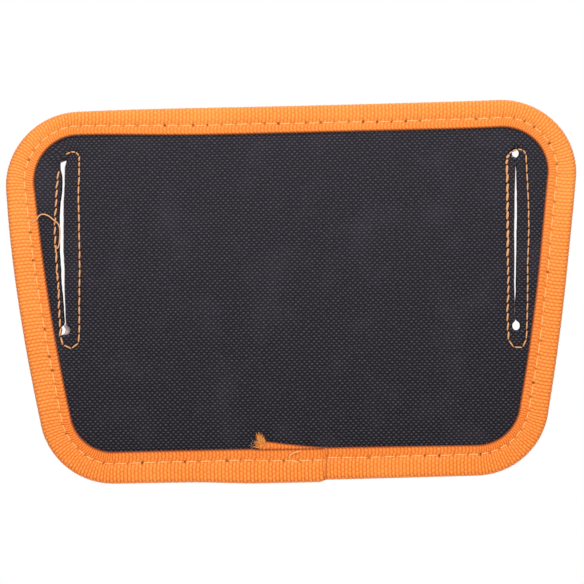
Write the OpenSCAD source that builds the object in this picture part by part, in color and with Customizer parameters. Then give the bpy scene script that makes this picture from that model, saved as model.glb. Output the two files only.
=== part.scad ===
// Slotted electrician tool pouch: a bound back panel that rides on a belt through
// two slots, with a gusseted tool pocket, an accessory pocket, tool loops and a snap strap.
// X runs across the panel, Y from the rear face to the pockets, Z up.
// The origin is midway between the two belt slots, on the rear cloth's outer face.

/* [Panel] */
// Width between the sharp top corners
panel_top_w = 217; // [210:1:230]
// Width between the sharp bottom corners
panel_bottom_w = 182; // [176:1:190]
// Height of the top edge above the belt line
panel_top_z = 50.5; // [48:0.5:56]
// Depth of the bottom edge below the belt line
panel_drop = 87.8; // [87:0.2:92]
// Radius of the panel's corners
corner_r = 27.5; // [24:0.5:32]
// How far the sides bow outwards
side_bow = 1.3; // [0:0.1:2]
// Thickness of each cloth layer
cloth_t = 0.8; // [0.6:0.1:0.8]
// Thickness of the foam core
core_t = 2; // [1.6:0.1:2.4]

/* [Binding] */
// Width of edge binding that shows on each face
binding_w = 11.4; // [10:0.2:12]
// Thickness of the tape
tape_t = 0.8; // [0.6:0.1:0.8]
// Length of the tape's lap at the bottom edge
lap_l = 23; // [16:1:30]
// Distance from one edge stitch to the next
edge_stitch_pitch = 5.2; // [4.6:0.1:6]

/* [Belt slots] */
// Distance of each slot from the middle
slot_x = 83; // [81:0.5:84]
// Length between the centres of a slot's end holes
slot_l = 63; // [50:1:63]
// Width of the cut between the end holes
slot_w = 1.5; // [1:0.1:2]
// Diameter of the punched end holes
slot_hole_d = 3.2; // [2.6:0.1:3.6]
// Distance from one slot stitch to the next
slot_stitch_pitch = 3.4; // [3:0.1:4]

/* [Tool pocket] */
// Width inside the gusset at the mouth
pocket_mouth_w = 132; // [124:1:132]
// Width inside the gusset at the bottom
pocket_bottom_w = 114; // [106:1:114]
// Height of the mouth above the belt line
pocket_mouth_z = 20; // [18:1:20]
// Depth of the gusset's bottom below the belt line
pocket_drop = 73; // [70:1:73]
// Depth from panel to front wall at the bottom
gusset_bottom_d = 18.4; // [16:0.2:22]
// Depth from panel to front wall at the mouth
gusset_mouth_d = 26.4; // [24:0.2:26.4]
// How far the front wall swells beyond its seam
wall_crown = 5; // [4:0.5:5]
// Width of the bound seam that stands out around the front wall
fin_w = 9; // [8.6:0.2:9]
// Height of the accessory pocket's mouth, measured up the front wall
accessory_h = 53; // [46:1:53]
// Where the divider stands, to the right of the middle
divider_x = 12; // [8:1:16]
// How far the accessory pocket's wide cell swells at its mouth
accessory_swell = 13; // [8:1:14]

/* [Loops and strap] */
// Width of the webbing
webbing_w = 20; // [18:1:20]
// Thickness of the webbing
webbing_t = 1.4; // [1.2:0.1:1.4]
// How far a tool loop stands off the front wall
loop_h = 9; // [7:0.5:10]
// Diameter of the snap's cap
snap_d = 12.5; // [11:0.5:13]

/* [Hidden] */

black = [0.16, 0.16, 0.18];
orange = [0.98, 0.55, 0.16];
thread = [0.98, 0.74, 0.48];
nickel = [0.75, 0.75, 0.73];

gap = 0.05;                      // clearance between sewn layers that only touch
thread_w = 0.5;
thread_t = 0.3;
groove_w = 1.2;                  // dent that a row of stitches pulls into the cloth
groove_d = 0.4;
panel_t = 2 * cloth_t + core_t;
stitch_inset = binding_w - 3.55; // the edge stitching runs this far inside the outline
slot_seam_w = 8;                 // width and height of the sewn ring around a slot
slot_seam_h = 73;
// The two slots were cut by hand: x, z, lean in degrees, and the sewn ring's offset in x and z.
slot_poses = [[-slot_x, 0.8, 0.9, 0.9, -1.8], [slot_x - 0.2, -1.2, 1.1, 0.4, -3.1]];

// ---- small helpers --------------------------------------------------------------

function unit(v) = v / norm(v);
function mix(a, b, t) = a + (b - a) * t;
function ease(t) = let (c = min(1, max(0, t))) c * c * (3 - 2 * c);

// A solid between two planes of constant y, from an outline in X and Z.
module slab(outline, y0, y1)
    translate([0, y1, 0]) rotate([90, 0, 0]) linear_extrude(y1 - y0) polygon(outline);

module ring(outer, inner, y0, y1) difference() {
    slab(outer, y0, y1);
    slab(inner, y0 - 1, y1 + 1);
}

// The outline moved inwards by d, point by point along its normals.
function inset(pts, d) = let (n = len(pts)) [
    for (i = [0 : n - 1])
        let (t = unit(pts[(i + 1) % n] - pts[(i + n - 1) % n])) pts[i] + [t.y, -t.x] * d];

// A sheet of cloth: two grids of points, one for each face, joined around the rim.
module sheet(top, bottom) {
    rows = len(top);
    cols = len(top[0]);
    function at(r, c) = r * cols + c;
    under = rows * cols;
    rim = concat(
        [for (c = [0 : cols - 1]) at(0, c)],
        [for (r = [1 : rows - 1]) at(r, cols - 1)],
        [for (c = [cols - 2 : -1 : 0]) at(rows - 1, c)],
        [for (r = [rows - 2 : -1 : 1]) at(r, 0)]);
    faces = concat(
        [for (r = [0 : rows - 2], c = [0 : cols - 2], k = [0, 1])
            k == 0 ? [at(r, c), at(r + 1, c), at(r + 1, c + 1)]
                   : [at(r, c), at(r + 1, c + 1), at(r, c + 1)]],
        [for (r = [0 : rows - 2], c = [0 : cols - 2], k = [0, 1])
            k == 0 ? [at(r, c) + under, at(r + 1, c + 1) + under, at(r + 1, c) + under]
                   : [at(r, c) + under, at(r, c + 1) + under, at(r + 1, c + 1) + under]],
        [for (i = [0 : len(rim) - 1], k = [0, 1])
            let (a = rim[i], b = rim[(i + 1) % len(rim)])
                k == 0 ? [a, b, b + under] : [a, b + under, a + under]]);
    polyhedron(concat([for (row = top) each row], [for (row = bottom) each row]), faces);
}

// One stitch: a bar from p to q, lying on a surface with normal n.
module stitch(p, q, n) {
    u = unit(q - p);
    b = cross(n, u);
    m = (p + q) / 2;
    multmatrix([[u.x, b.x, n.x, m.x], [u.y, b.y, n.y, m.y], [u.z, b.z, n.z, m.z], [0, 0, 0, 1]])
        cube([norm(q - p), thread_w, thread_t], center = true);
}

// Running lengths along a polyline, and the point at a length.
function lengths(pts) = [
    for (i = 0, s = 0;
         i < len(pts);
         s = s + (i + 1 < len(pts) ? norm(pts[i + 1] - pts[i]) : 0), i = i + 1)
        s];
function along(pts, run, s) =
    let (i = max([for (k = [0 : len(run) - 2]) if (run[k] <= s) k]),
         t = (s - run[i]) / max(run[i + 1] - run[i], 0.001)) mix(pts[i], pts[i + 1], t);

// A row of stitches along a polyline of 3D points, all with the same surface normal.
module stitch_row(pts, n, pitch) {
    run = lengths(pts);
    total = run[len(run) - 1];
    count = floor(total / pitch);
    step = total / count;
    for (k = [0 : count - 1])
        stitch(along(pts, run, k * step + 0.45), along(pts, run, (k + 1) * step - 0.45), n);
}

function lift(pts, y) = [for (p = pts) [p.x, y, p.y]];
function closed(pts) = concat(pts, [pts[0]]);

// ---- panel outline --------------------------------------------------------------

panel_corners = [
    [-panel_top_w / 2, panel_top_z], [panel_top_w / 2, panel_top_z],
    [panel_bottom_w / 2, -panel_drop], [-panel_bottom_w / 2, -panel_drop]];
panel_bows = [0, side_bow, 0, side_bow];

// The arc that rounds corner b between a and c, running clockwise.
function corner_arc(a, b, c, r, n) =
    let (u = unit(a - b), v = unit(c - b), half = acos(u * v) / 2,
         centre = b + unit(u + v) * r / sin(half),
         start = b + u * r / tan(half) - centre,
         from = atan2(start.y, start.x), sweep = 2 * half - 180)
    [for (i = [0 : n]) centre + r * [cos(from + sweep * i / n), sin(from + sweep * i / n)]];

// Points strictly between s and e, bowed out to the left of the way from s to e.
function bowed(s, e, bow, n) =
    let (d = unit(e - s))
    [for (j = [1 : n - 1]) mix(s, e, j / n) + [-d.y, d.x] * bow * 4 * (j / n) * (1 - j / n)];

function rounded_outline(corners, r, bows) =
    let (arcs = [for (i = [0 : 3])
        corner_arc(corners[(i + 3) % 4], corners[i], corners[(i + 1) % 4], r, 10)])
    [for (i = [0 : 3])
        each concat(arcs[i], bowed(arcs[i][10], arcs[(i + 1) % 4][0], bows[i], 8))];

panel_outline = rounded_outline(panel_corners, corner_r, panel_bows);

// A round-ended outline around the origin, of half width r.
function stadium(r, half_h) = concat(
    [for (a = [0 : 15 : 180]) [-r * cos(a), half_h - r + r * sin(a)]],
    [for (a = [0 : 15 : 180]) [r * cos(a), -half_h + r - r * sin(a)]]);

// Places a slot's children, drawn around the origin, at one of the two slots.
module at_slot(pose) translate([pose.x, 0, pose.y]) rotate([0, pose.z, 0]) children();

module slot_cuts() for (pose = slot_poses) at_slot(pose) {
    translate([-slot_w / 2, -1, -slot_l / 2]) cube([slot_w, panel_t + 2, slot_l]);
    for (side = [-1, 1]) translate([0, panel_t + 1, side * slot_l / 2])
        rotate([90, 0, 0]) cylinder(d = slot_hole_d, h = panel_t + 2, $fn = 32);
}

module slot_grooves(y0, y1) for (pose = slot_poses) at_slot(pose)
    translate([pose[3], 0, pose[4]]) ring(
        stadium(slot_seam_w / 2 + groove_w / 2, slot_seam_h / 2 + groove_w / 2),
        stadium(slot_seam_w / 2 - groove_w / 2, slot_seam_h / 2 - groove_w / 2), y0, y1);

module slot_stitches(pose) {
    path = closed(stadium(slot_seam_w / 2, slot_seam_h / 2));
    sunk = groove_d - thread_t / 2 - gap;
    for (y = [sunk, panel_t - sunk])
        color(thread) at_slot(pose) translate([pose[3], 0, pose[4]])
            stitch_row(lift(path, y), [0, 1, 0], slot_stitch_pitch);
}

// ---- panel pieces ---------------------------------------------------------------

// The border that lies under the binding is pressed a little below the open face.
module rear_cloth() color(black) difference() {
    union() {
        slab(inset(panel_outline, binding_w + 0.1), 0, cloth_t);
        slab(inset(panel_outline, tape_t), gap, cloth_t);
    }
    slot_cuts();
    slot_grooves(-1, groove_d);
}

module foam_core() color([0.3, 0.3, 0.32]) difference() {
    slab(inset(panel_outline, tape_t + 0.6), cloth_t, cloth_t + core_t);
    slot_cuts();
}

module front_cloth() color(black) difference() {
    slab(inset(panel_outline, tape_t), cloth_t + core_t, panel_t);
    slot_cuts();
    slot_grooves(panel_t - groove_d, panel_t + 1);
}

module edge_binding() color(orange) difference() {
    slab(panel_outline, -tape_t, panel_t + tape_t);
    slab(inset(panel_outline, tape_t), 0, panel_t);
    slab(inset(panel_outline, binding_w), -5, panel_t + 5);
    for (y = [-tape_t - groove_d, panel_t + tape_t - groove_d])
        ring(inset(panel_outline, stitch_inset - groove_w / 2),
            inset(panel_outline, stitch_inset + groove_w / 2), y, y + 2 * groove_d);
}

// The folded end of the tape, wrapped once more around the bottom edge.
module binding_lap() color(orange) {
    y0 = -tape_t - gap;
    y1 = panel_t + tape_t + gap;
    fold = 0.55;
    translate([-lap_l / 2 + 1, 0, -panel_drop]) difference() {
        translate([0, y0 - fold, -fold - gap]) cube([lap_l, y1 - y0 + 2 * fold, binding_w + fold]);
        translate([-1, y0, -gap]) cube([lap_l + 2, y1 - y0, binding_w + 5]);
    }
}

module edge_stitches(y) color(thread)
    stitch_row(lift(closed(inset(panel_outline, stitch_inset)), y), [0, 1, 0], edge_stitch_pitch);

module edge_stitches_rear() edge_stitches(-tape_t + groove_d - gap - thread_t / 2);
module edge_stitches_front() edge_stitches(panel_t + tape_t - groove_d + gap + thread_t / 2);
module left_slot_stitches() slot_stitches(slot_poses[0]);
module right_slot_stitches() slot_stitches(slot_poses[1]);

// ---- pocket shape ---------------------------------------------------------------
// The front wall is drawn in its own plane: x across, v up the wall, w out of it.

lean = atan((gusset_mouth_d - gusset_bottom_d) / (pocket_mouth_z + pocket_drop));
wall_h = (pocket_mouth_z + pocket_drop) / cos(lean);
pocket_r = 14;
wall_y = panel_t + gusset_bottom_d;
wall_n = [0, cos(lean), -sin(lean)];
wall_up = [0, sin(lean), cos(lean)];
function on_wall(x, v, w) = [0, wall_y, -pocket_drop] + [x, 0, 0] + wall_up * v + wall_n * w;

// Half width of the pocket at height v, grown outwards by g; the corners are round.
function half_w(v, g) =
    let (straight = mix(pocket_bottom_w, pocket_mouth_w, max(v, 0) / wall_h) / 2 + g,
         r = pocket_r + g, up = v + g)
    up >= r ? straight : straight - r + sqrt(max(0, r * r - (r - up) * (r - up)));

// Heights of the rows of a wall that reaches g below the gusset, up to top. Layers share
// these heights, so that their facets lie parallel and don't cut into each other.
shared_rows = [20, 26, 32, 38, 45, accessory_h, 60, 68, 76, 85];
function rows(g, top) = concat(
    g > 0 ? [-g, -0.8 * g, -0.45 * g, 0, 5, 14] : [0, 1.1, 4.1, 8.6, 14],
    [for (v = shared_rows) if (v < top - 1) v], [top]);

// Half width of the part of the wall that swells.
function free_w(v) = half_w(max(v, 0), 0) - 1;

function crown(x, v) =
    let (s = x / free_w(v)) abs(s) >= 1 ? 0
        : wall_crown * (1 - s * s) * ease(v / 45);

// The pocket's U-shaped line from mouth to mouth, grown outwards by g.
function u_line(g, top) =
    let (up = [for (v = rows(g, top)) [half_w(v, g), v]])
    concat([for (i = [len(up) - 1 : -1 : 0]) [-up[i].x, up[i].y]], up);

// ---- tool pocket ----------------------------------------------------------------

module tool_pocket_wall() {
    levels = rows(fin_w, wall_h);
    function cols(v) =
        concat([-half_w(v, fin_w)], [for (s = [-9 : 9]) s / 9 * free_w(v)], [half_w(v, fin_w)]);
    function face(w) = [for (v = levels) [for (x = cols(v)) on_wall(x, v, w + crown(x, v))]];
    color(black) sheet(face(cloth_t), face(0));
}

// A strip folded twice: a flange sewn to the panel, the side wall, and a flange under the front wall.
module gusset() {
    line = u_line(0, wall_h - 0.4);
    inner = u_line(-cloth_t, wall_h - 0.4);
    tucked = u_line(-7, wall_h - 0.4);
    fin = u_line(fin_w - 0.5, wall_h - 0.4);
    function front(p, w) = on_wall(p.x, p.y, w);
    function rear(p, y) = [p.x, y, on_wall(0, p.y, 0).z];
    y0 = panel_t + gap;
    color(black) sheet(
        [for (i = [0 : len(line) - 1])
            [rear(tucked[i], y0), rear(line[i], y0),
                front(line[i], -gap - cloth_t), front(fin[i], -gap - cloth_t)]],
        [for (i = [0 : len(line) - 1])
            [rear(tucked[i], y0 + cloth_t), rear(inner[i], y0 + cloth_t),
                front(inner[i], -gap), front(fin[i], -gap)]]);
}

// The row that holds the gusset's rear flange to the panel.
module gusset_stitches() color(thread) {
    line = u_line(-4.5, wall_h - 3);
    stitch_row([for (p = line) [p.x, panel_t + cloth_t + 2 * gap + thread_t / 2, on_wall(0, p.y, 0).z]],
        [0, 1, 0], edge_stitch_pitch);
}

// A web from the panel to the front wall, with a sewn flange at each end.
module tool_pocket_divider() {
    levels = concat([9], [for (v = rows(0, wall_h - 16)) if (v > 10) v]);
    y0 = panel_t + gap;
    flange = 7;
    function front(x, v, w) = on_wall(x, v, crown(x, v) - gap - w);
    function rear(x, v, y) = [x, y, on_wall(0, v, 0).z];
    color(black) sheet(
        [for (v = levels) [rear(divider_x - flange, v, y0), rear(divider_x, v, y0),
            front(divider_x, v, cloth_t), front(divider_x + flange, v, cloth_t)]],
        [for (v = levels)
            [rear(divider_x - flange, v, y0 + cloth_t), rear(divider_x - cloth_t, v, y0 + cloth_t),
            front(divider_x - cloth_t, v, 0), front(divider_x + flange, v, 0)]]);
}

mouth_tape_w = 8;                // how far the tape comes down each face of a mouth
mouth_gap = 0.15;                // air between that tape and the cloth

// Section at x of the tape folded over a mouth at height top, on a wall whose inner face is at base.
function fold_outer(x, top, base) = [
    [x, top - mouth_tape_w, base + cloth_t + mouth_gap + tape_t],
    [x, top + mouth_gap + tape_t * 0.5, base + cloth_t + mouth_gap + tape_t],
    [x, top + mouth_gap + tape_t, base + cloth_t * 0.5 + mouth_gap],
    [x, top + mouth_gap + tape_t * 0.5, base - mouth_gap - tape_t],
    [x, top - mouth_tape_w, base - mouth_gap - tape_t]];
function fold_inner(x, top, base) = [
    [x, top - mouth_tape_w, base + cloth_t + mouth_gap],
    [x, top + mouth_gap * 0.5, base + cloth_t + mouth_gap],
    [x, top + mouth_gap, base + cloth_t * 0.5],
    [x, top + mouth_gap * 0.5, base - mouth_gap],
    [x, top - mouth_tape_w, base - mouth_gap]];

module tool_pocket_mouth_binding() color(orange) {
    reach = half_w(wall_h - mouth_tape_w, 0) - cloth_t - 0.2;
    cols = [for (s = [-10 : 10]) s / 10 * reach];
    sheet(
        [for (x = cols) [for (p = fold_outer(x, wall_h, 0)) on_wall(p.x, p.y, p.z + crown(x, p.y))]],
        [for (x = cols) [for (p = fold_inner(x, wall_h, 0)) on_wall(p.x, p.y, p.z + crown(x, p.y))]]);
}

// ---- accessory pocket -----------------------------------------------------------

// How far the accessory pocket stands off the front wall: two cells with the divider between.
function cell_swell(x, v, x0, x1, most) =
    x <= x0 || x >= x1 ? 0
    : let (s = (2 * x - x0 - x1) / (x1 - x0))
        most * (1 - pow(abs(s), 2.6)) * pow(ease(v / accessory_h / 1.15), 0.6);
function swell(x, v) =
    cell_swell(x, v, -free_w(v), divider_x - 1.5, accessory_swell)
    + cell_swell(x, v, divider_x + 1.5, free_w(v), accessory_swell * 0.8);
function accessory_w(x, v) = cloth_t + gap + crown(x, v) + swell(x, v);

// Columns that follow the cells at height v, so that the fold at the divider stays sharp.
function accessory_cols(v, g) =
    let (edge = free_w(v), out = half_w(v, g))
    v <= 0 ? [for (k = [0 : 22]) mix(-out, out, k / 22)]
    : concat([-out], [for (k = [0 : 10]) mix(-edge, divider_x - 1.5, (1 - cos(18 * k)) / 2)],
        [for (k = [0 : 9]) mix(divider_x + 1.5, edge, (1 - cos(20 * k)) / 2)], [out]);

module accessory_pocket() {
    levels = rows(fin_w - 0.2, accessory_h);
    function face(w) = [for (v = levels) [for (x = accessory_cols(v, fin_w - 0.2))
        on_wall(x, v, accessory_w(x, v) + w)]];
    color(black) sheet(face(cloth_t), face(0));
}

module accessory_mouth_binding() color(orange) {
    cols = [for (x = accessory_cols(accessory_h, 0))
        if (swell(x, accessory_h) > tape_t + 2 * mouth_gap) x];
    for (side = [-1, 1]) {
        half = [for (x = cols) if (side * (x - divider_x) > 0) x];
        sheet(
            [for (x = half) [for (p = fold_outer(x, accessory_h, 0))
                on_wall(p.x, p.y, p.z + accessory_w(x, p.y))]],
            [for (x = half) [for (p = fold_inner(x, accessory_h, 0))
                on_wall(p.x, p.y, p.z + accessory_w(x, p.y))]]);
    }
}

// One vertical row through the accessory pocket, the front wall and the divider.
module divider_stitches() color(thread) {
    line = [for (k = [0 : 20]) let (v = mix(1, accessory_h - 1, k / 20))
        on_wall(divider_x, v, accessory_w(divider_x, v) + cloth_t + mouth_gap + thread_t / 2)];
    stitch_row(line, wall_n, slot_stitch_pitch);
}

// ---- bound seam around the front wall -------------------------------------------

seam_top = 2 * cloth_t + 2 * gap; // the binding's front leg lies over the accessory pocket's edge
seam_bottom = -cloth_t - 2 * gap;

module seam_binding() {
    out = u_line(fin_w + tape_t, wall_h);
    edge = u_line(fin_w + gap, wall_h);
    fold = u_line(0.6, wall_h);
    function at(p, w) = on_wall(p.x, p.y, w);
    color(orange) sheet(
        [for (i = [0 : len(out) - 1]) [at(fold[i], seam_top + tape_t), at(edge[i], seam_top + tape_t),
            at(out[i], (seam_top + seam_bottom) / 2), at(edge[i], seam_bottom - tape_t),
            at(fold[i], seam_bottom - tape_t)]],
        [for (i = [0 : len(out) - 1]) [at(fold[i], seam_top), at(edge[i], seam_top),
            at(edge[i], (seam_top + seam_bottom) / 2), at(edge[i], seam_bottom),
            at(fold[i], seam_bottom)]]);
}

module seam_stitches() color(thread) {
    line = u_line(3.2, wall_h - 1);
    stitch_row([for (p = line) on_wall(p.x, p.y, seam_top + tape_t + gap + thread_t / 2)],
        wall_n, edge_stitch_pitch);
}

// ---- tool loops -----------------------------------------------------------------

loop_v = wall_h - 24;            // height of the webbing's middle on the wall
loop_centres = [-48, -25, 25, 48];
loop_span = 18;
webbing_reach = 62;

function loop_swell(x) = max([for (c = loop_centres)
    abs(x - c) >= loop_span / 2 ? 0 : loop_h * sqrt(1 - pow(2 * (x - c) / loop_span, 2))]);

function loop_cols(c) = [for (a = [0 : 15 : 180]) c - loop_span / 2 * cos(a)];
webbing_cols = concat([-webbing_reach],
    [for (c = loop_centres) if (c < 0) each loop_cols(c)], [-10, -5, 0, 5, 10],
    [for (c = loop_centres) if (c > 0) each loop_cols(c)],
    [webbing_reach]);

// The webbing's back at x and height v, off the wall; the thickness is laid on outwards.
function webbing_base(x, v) = crown(x, v) + cloth_t + gap + loop_swell(x);
function webbing_out(x) = let (c = [for (c = loop_centres) if (abs(x - c) <= loop_span / 2) c])
    len(c) == 0 ? [0, 1] : let (s = 2 * (x - c[0]) / loop_span)
        abs(s) > 0.999 ? [0, 1] : unit([s, 0.35 + sqrt(1 - s * s)]);

module loop_webbing() color([0.12, 0.12, 0.13]) difference() {
    levels = [loop_v - webbing_w / 2, loop_v, loop_v + webbing_w / 2];
    sheet(
        [for (v = levels) [for (x = webbing_cols) let (o = webbing_out(x) * webbing_t)
            on_wall(x + o.x, v, webbing_base(x, v) + o.y)]],
        [for (v = levels) [for (x = webbing_cols) on_wall(x, v, webbing_base(x, v))]]);
}

// Rows of stitches that hold the webbing down between the loops.
module loop_bar_stitches() color(thread)
    for (x = [-60, -36.5, -12.5, 12.5, 36.5, 60])
        stitch_row([for (k = [0 : 4]) let (v = mix(loop_v - 9, loop_v + 9, k / 4))
            on_wall(x, v, webbing_base(x, v) + webbing_t + gap + thread_t / 2)], wall_n, 3);

// Dense tacks at the mouths, where a pocket takes its load.
module bartacks() color(thread) {
    w = seam_top + tape_t + 2 * gap;
    for (side = [-1, 1], top = [wall_h - 2, accessory_h - 2]) {
        x = side * (half_w(top, 0) + 6.2);
        for (k = [0 : 5]) let (v = top - 5.5 + k)
            stitch(on_wall(x - 2, v, w + thread_t / 2), on_wall(x + 2, v, w + thread_t / 2), wall_n);
    }
}

// ---- snap strap -----------------------------------------------------------------

// The strap bends along a line just below and in front of its sewn root, given as y and z.
hinge = [panel_t + 2 * gap + 1.6 * webbing_t, 27];
root_top = 38;
snap_v = loop_v - 1;             // height of the snap on the wall
stud_foot = on_wall(0, snap_v, webbing_base(0, snap_v) + webbing_t + gap);
knob_h = 0.9;
foot_h = 0.6;
socket_h = 2;
cap_rim_h = 0.5;
dome_h = 1.5;
strap_start = webbing_base(0, snap_v) + webbing_t + 2 * gap + foot_h + socket_h + gap + webbing_t / 2;

module strap_root() color([0.12, 0.12, 0.13])
    translate([-webbing_w / 2, panel_t + gap, hinge.y + webbing_t / 2 + 0.1])
        cube([webbing_w, webbing_t, root_top - hinge.y - webbing_t / 2 - 0.1]);

// A sewn box with a cross in it.
module strap_root_stitches() color(thread) {
    y = panel_t + 2 * gap + webbing_t + thread_t / 2;
    low = hinge.y + 2.4;
    high = root_top - 1.6;
    side = webbing_w / 2 - 2;
    for (z = [low, high]) stitch_row([[-side + 1, y, z], [side - 1, y, z]], [0, 1, 0], 3);
    for (x = [-side, side]) stitch_row([[x, y, low + 1], [x, y, high - 1]], [0, 1, 0], 3);
}

// The strap's middle line, as y and z: out over the mouth, then down the front to the snap.
function strap_point(v) = let (p = on_wall(0, v, strap_start)) [p.y, p.z];
strap_line = [
    hinge, [hinge.x + 0.7, 25], [hinge.x + 2.6, 23.8], [14, 23.4], [26, 23.5], [33.6, 23.3],
    [36.6, 22.3], [37.9, 20.2], strap_point(wall_h - 6), strap_point(snap_v + 8),
    strap_point(snap_v), strap_point(snap_v - 9.5)];
function strap_normal(i) =
    let (a = strap_line[max(i - 1, 0)], b = strap_line[min(i + 1, len(strap_line) - 1)], t = unit(b - a))
    i == 0 ? [1, 0] : [-t.y, t.x];

module snap_strap() {
    function face(x, side) = [for (i = [0 : len(strap_line) - 1])
        let (p = strap_line[i] + strap_normal(i) * side * webbing_t / 2) [x, p.x, p.y]];
    color([0.12, 0.12, 0.13]) difference() {
        sheet([face(-webbing_w / 2, 1), face(webbing_w / 2, 1)],
            [face(-webbing_w / 2, -1), face(webbing_w / 2, -1)]);
        on_snap(-1) cylinder(d = 3.4, h = foot_h + socket_h + webbing_t + 4, $fn = 32);
    }
}

// Draws children along the snap's axis, h above the stud's foot.
module on_snap(h) translate(stud_foot + wall_n * h) rotate([-90 - lean, 0, 0]) children();

module snap_stud() color(nickel) {
    on_snap(0) cylinder(d = 8.6, h = foot_h, $fn = 48);
    on_snap(0) cylinder(d = 3.9, h = foot_h + knob_h, $fn = 48);
}

module snap_socket() color(nickel) on_snap(foot_h + gap) difference() {
    cylinder(d = 10.4, h = socket_h, $fn = 48);
    translate([0, 0, -1]) cylinder(d = 6, h = socket_h + 2, $fn = 48);
}

// The domed cap, with the post that joins it to the socket through the strap.
module snap_cap() color(nickel) {
    base = foot_h + socket_h + webbing_t + 3 * gap;
    dome_r = (snap_d * snap_d / 4 + dome_h * dome_h) / (2 * dome_h);
    on_snap(base) intersection() {
        translate([0, 0, cap_rim_h + dome_h - dome_r]) sphere(r = dome_r, $fn = 96);
        cylinder(d = snap_d, h = cap_rim_h + dome_h, $fn = 48);
    }
    on_snap(foot_h + socket_h + 2 * gap) cylinder(d = 3, h = webbing_t + 0.3, $fn = 32);
}

rear_cloth();
foam_core();
front_cloth();
edge_binding();
binding_lap();
edge_stitches_rear();
edge_stitches_front();
left_slot_stitches();
right_slot_stitches();
gusset();
gusset_stitches();
tool_pocket_wall();
tool_pocket_divider();
tool_pocket_mouth_binding();
accessory_pocket();
accessory_mouth_binding();
divider_stitches();
seam_binding();
seam_stitches();
loop_webbing();
loop_bar_stitches();
bartacks();
strap_root();
strap_root_stitches();
snap_stud();
snap_strap();
snap_socket();
snap_cap();
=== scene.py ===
"""Slotted electrician tool pouch: cloth, binding, stitching, webbing and snap over the CAD frame.

Everything is drawn in millimetres, in the CAD's own frame, and brought to metres as it is finished.
X runs across the panel, Y from the rear face to the pockets, Z up.
"""

import math
import random

import bmesh
import bpy
from mathutils import Matrix, Vector, noise


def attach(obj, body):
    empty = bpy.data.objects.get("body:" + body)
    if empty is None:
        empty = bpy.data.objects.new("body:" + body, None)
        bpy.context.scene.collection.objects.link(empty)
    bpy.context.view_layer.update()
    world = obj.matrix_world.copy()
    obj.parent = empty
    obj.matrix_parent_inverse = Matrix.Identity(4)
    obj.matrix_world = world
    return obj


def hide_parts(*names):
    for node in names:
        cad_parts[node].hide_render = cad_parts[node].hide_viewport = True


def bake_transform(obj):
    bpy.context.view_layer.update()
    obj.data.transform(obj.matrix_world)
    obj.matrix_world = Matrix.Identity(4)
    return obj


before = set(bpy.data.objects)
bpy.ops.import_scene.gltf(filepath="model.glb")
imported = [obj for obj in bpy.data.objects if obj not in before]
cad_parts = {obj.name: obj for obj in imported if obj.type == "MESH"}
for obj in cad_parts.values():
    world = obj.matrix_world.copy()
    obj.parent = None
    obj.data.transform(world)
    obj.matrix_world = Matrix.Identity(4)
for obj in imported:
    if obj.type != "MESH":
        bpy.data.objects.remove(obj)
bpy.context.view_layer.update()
random.seed(7)
MM = 0.001

# ---- sizes, in millimetres, as the CAD has them ---------------------------------

PANEL_TOP_W, PANEL_BOTTOM_W, PANEL_TOP_Z, PANEL_DROP = 217.0, 182.0, 50.5, 87.8
CORNER_R, SIDE_BOW = 27.5, 1.3
CLOTH_T, CORE_T, TAPE_T, PANEL_T = 0.8, 2.0, 0.8, 3.6
EDGE_PITCH, SLOT_PITCH = 5.2, 3.4
GAP = 0.05
WALL_Y, POCKET_DROP = 22.0, 73.0
LEAN = math.atan(8 / 93)
WALL_H = 93 / math.cos(LEAN)
POCKET_BOTTOM, POCKET_MOUTH, POCKET_R = 57.0, 66.0, 14.0
FIN_W, CROWN_H, ACCESSORY_H, DIVIDER_X = 9.0, 5.0, 53.0, 12.0
WIDE_SWELL, NARROW_SWELL = 13.0, 10.4
WEBBING_W, WEBBING_T = 20.0, 1.4
LOOP_V = WALL_H - 24
LOOP_CENTRES, LOOP_SPAN, LOOP_H, WEBBING_REACH = (-48, -25, 25, 48), 18.0, 9.0, 62.0
SNAP_V = LOOP_V - 1
SEAM_TOP, SEAM_BOTTOM = 1.7, -0.9

YARN = 0.92          # spacing of the canvas's yarns
LAP = 24.6           # how far the tape runs on past its own start
RIB_COUNT = 473      # ribs of tape once round the panel

TAPE_START_X = -13.7
# FOLD_X, FOLD_LEAN and FOLD_FOOT place the painted shade along the crease at the tape's folded end.
FOLD_X = TAPE_START_X + LAP + 0.35   # where the tape's folded end lies
FOLD_LEAN, FOLD_FOOT = 0.11, -81.5   # how the crease at that end leans, about this height
SLACK_HOLE = (1.7, -1.2, -80.8)      # where the slack stitch goes back into the tape
# Where the tape starts, as a share of the round clockwise from the left side's upper end.
TAPE_START_SHARE = 0.719
SHEET_W, SHEET_H = 208.0, 138.0      # the cloth that a layer of the panel is cut from
PULL_ACROSS, PULL_BEYOND = 9, 8      # how far from a slot its cut draws the cloth aside

# The belt slots: x, z and width of each cut from the top down, and the seam sewn round it.
LEFT_CUT = (
    (-81.1, 34.2, 0.3), (-81.9, 33.1, 1.3), (-82.7, 31.6, 2.0), (-83.1, 29.2, 1.5), (-83.0, 24.7, 1.05),
    (-83.2, 20.3, 1.0), (-83.8, 15.9, 1.45), (-84.0, 11.5, 1.62), (-84.1, 4.8, 1.47), (-84.3, -1.8, 1.55),
    (-84.0, -8.4, 1.45), (-84.05, -12.8, 1.3), (-83.9, -17.2, 1.0), (-83.7, -21.6, 0.85), (-83.6, -26, 0.75),
    (-83.4, -29.5, 0.75))
RIGHT_CUT = (
    (83.5, 30.3, 0.1), (83.4, 27.6, 0.12), (83.4, 25.3, 0.48), (83.2, 16.5, 0.85), (83, 7.7, 0.99),
    (82.7, 1.1, 0.96), (82.5, -7.7, 0.77), (82.15, -16.6, 0.73), (82.1, -21, 0.62), (82, -24, 0.34),
    (81.9, -27.6, 0.40), (82.2, -32.6, 0.18))
LEFT_HOLES = ((-83.5, -30.5, 1.85, -1.7),)
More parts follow.
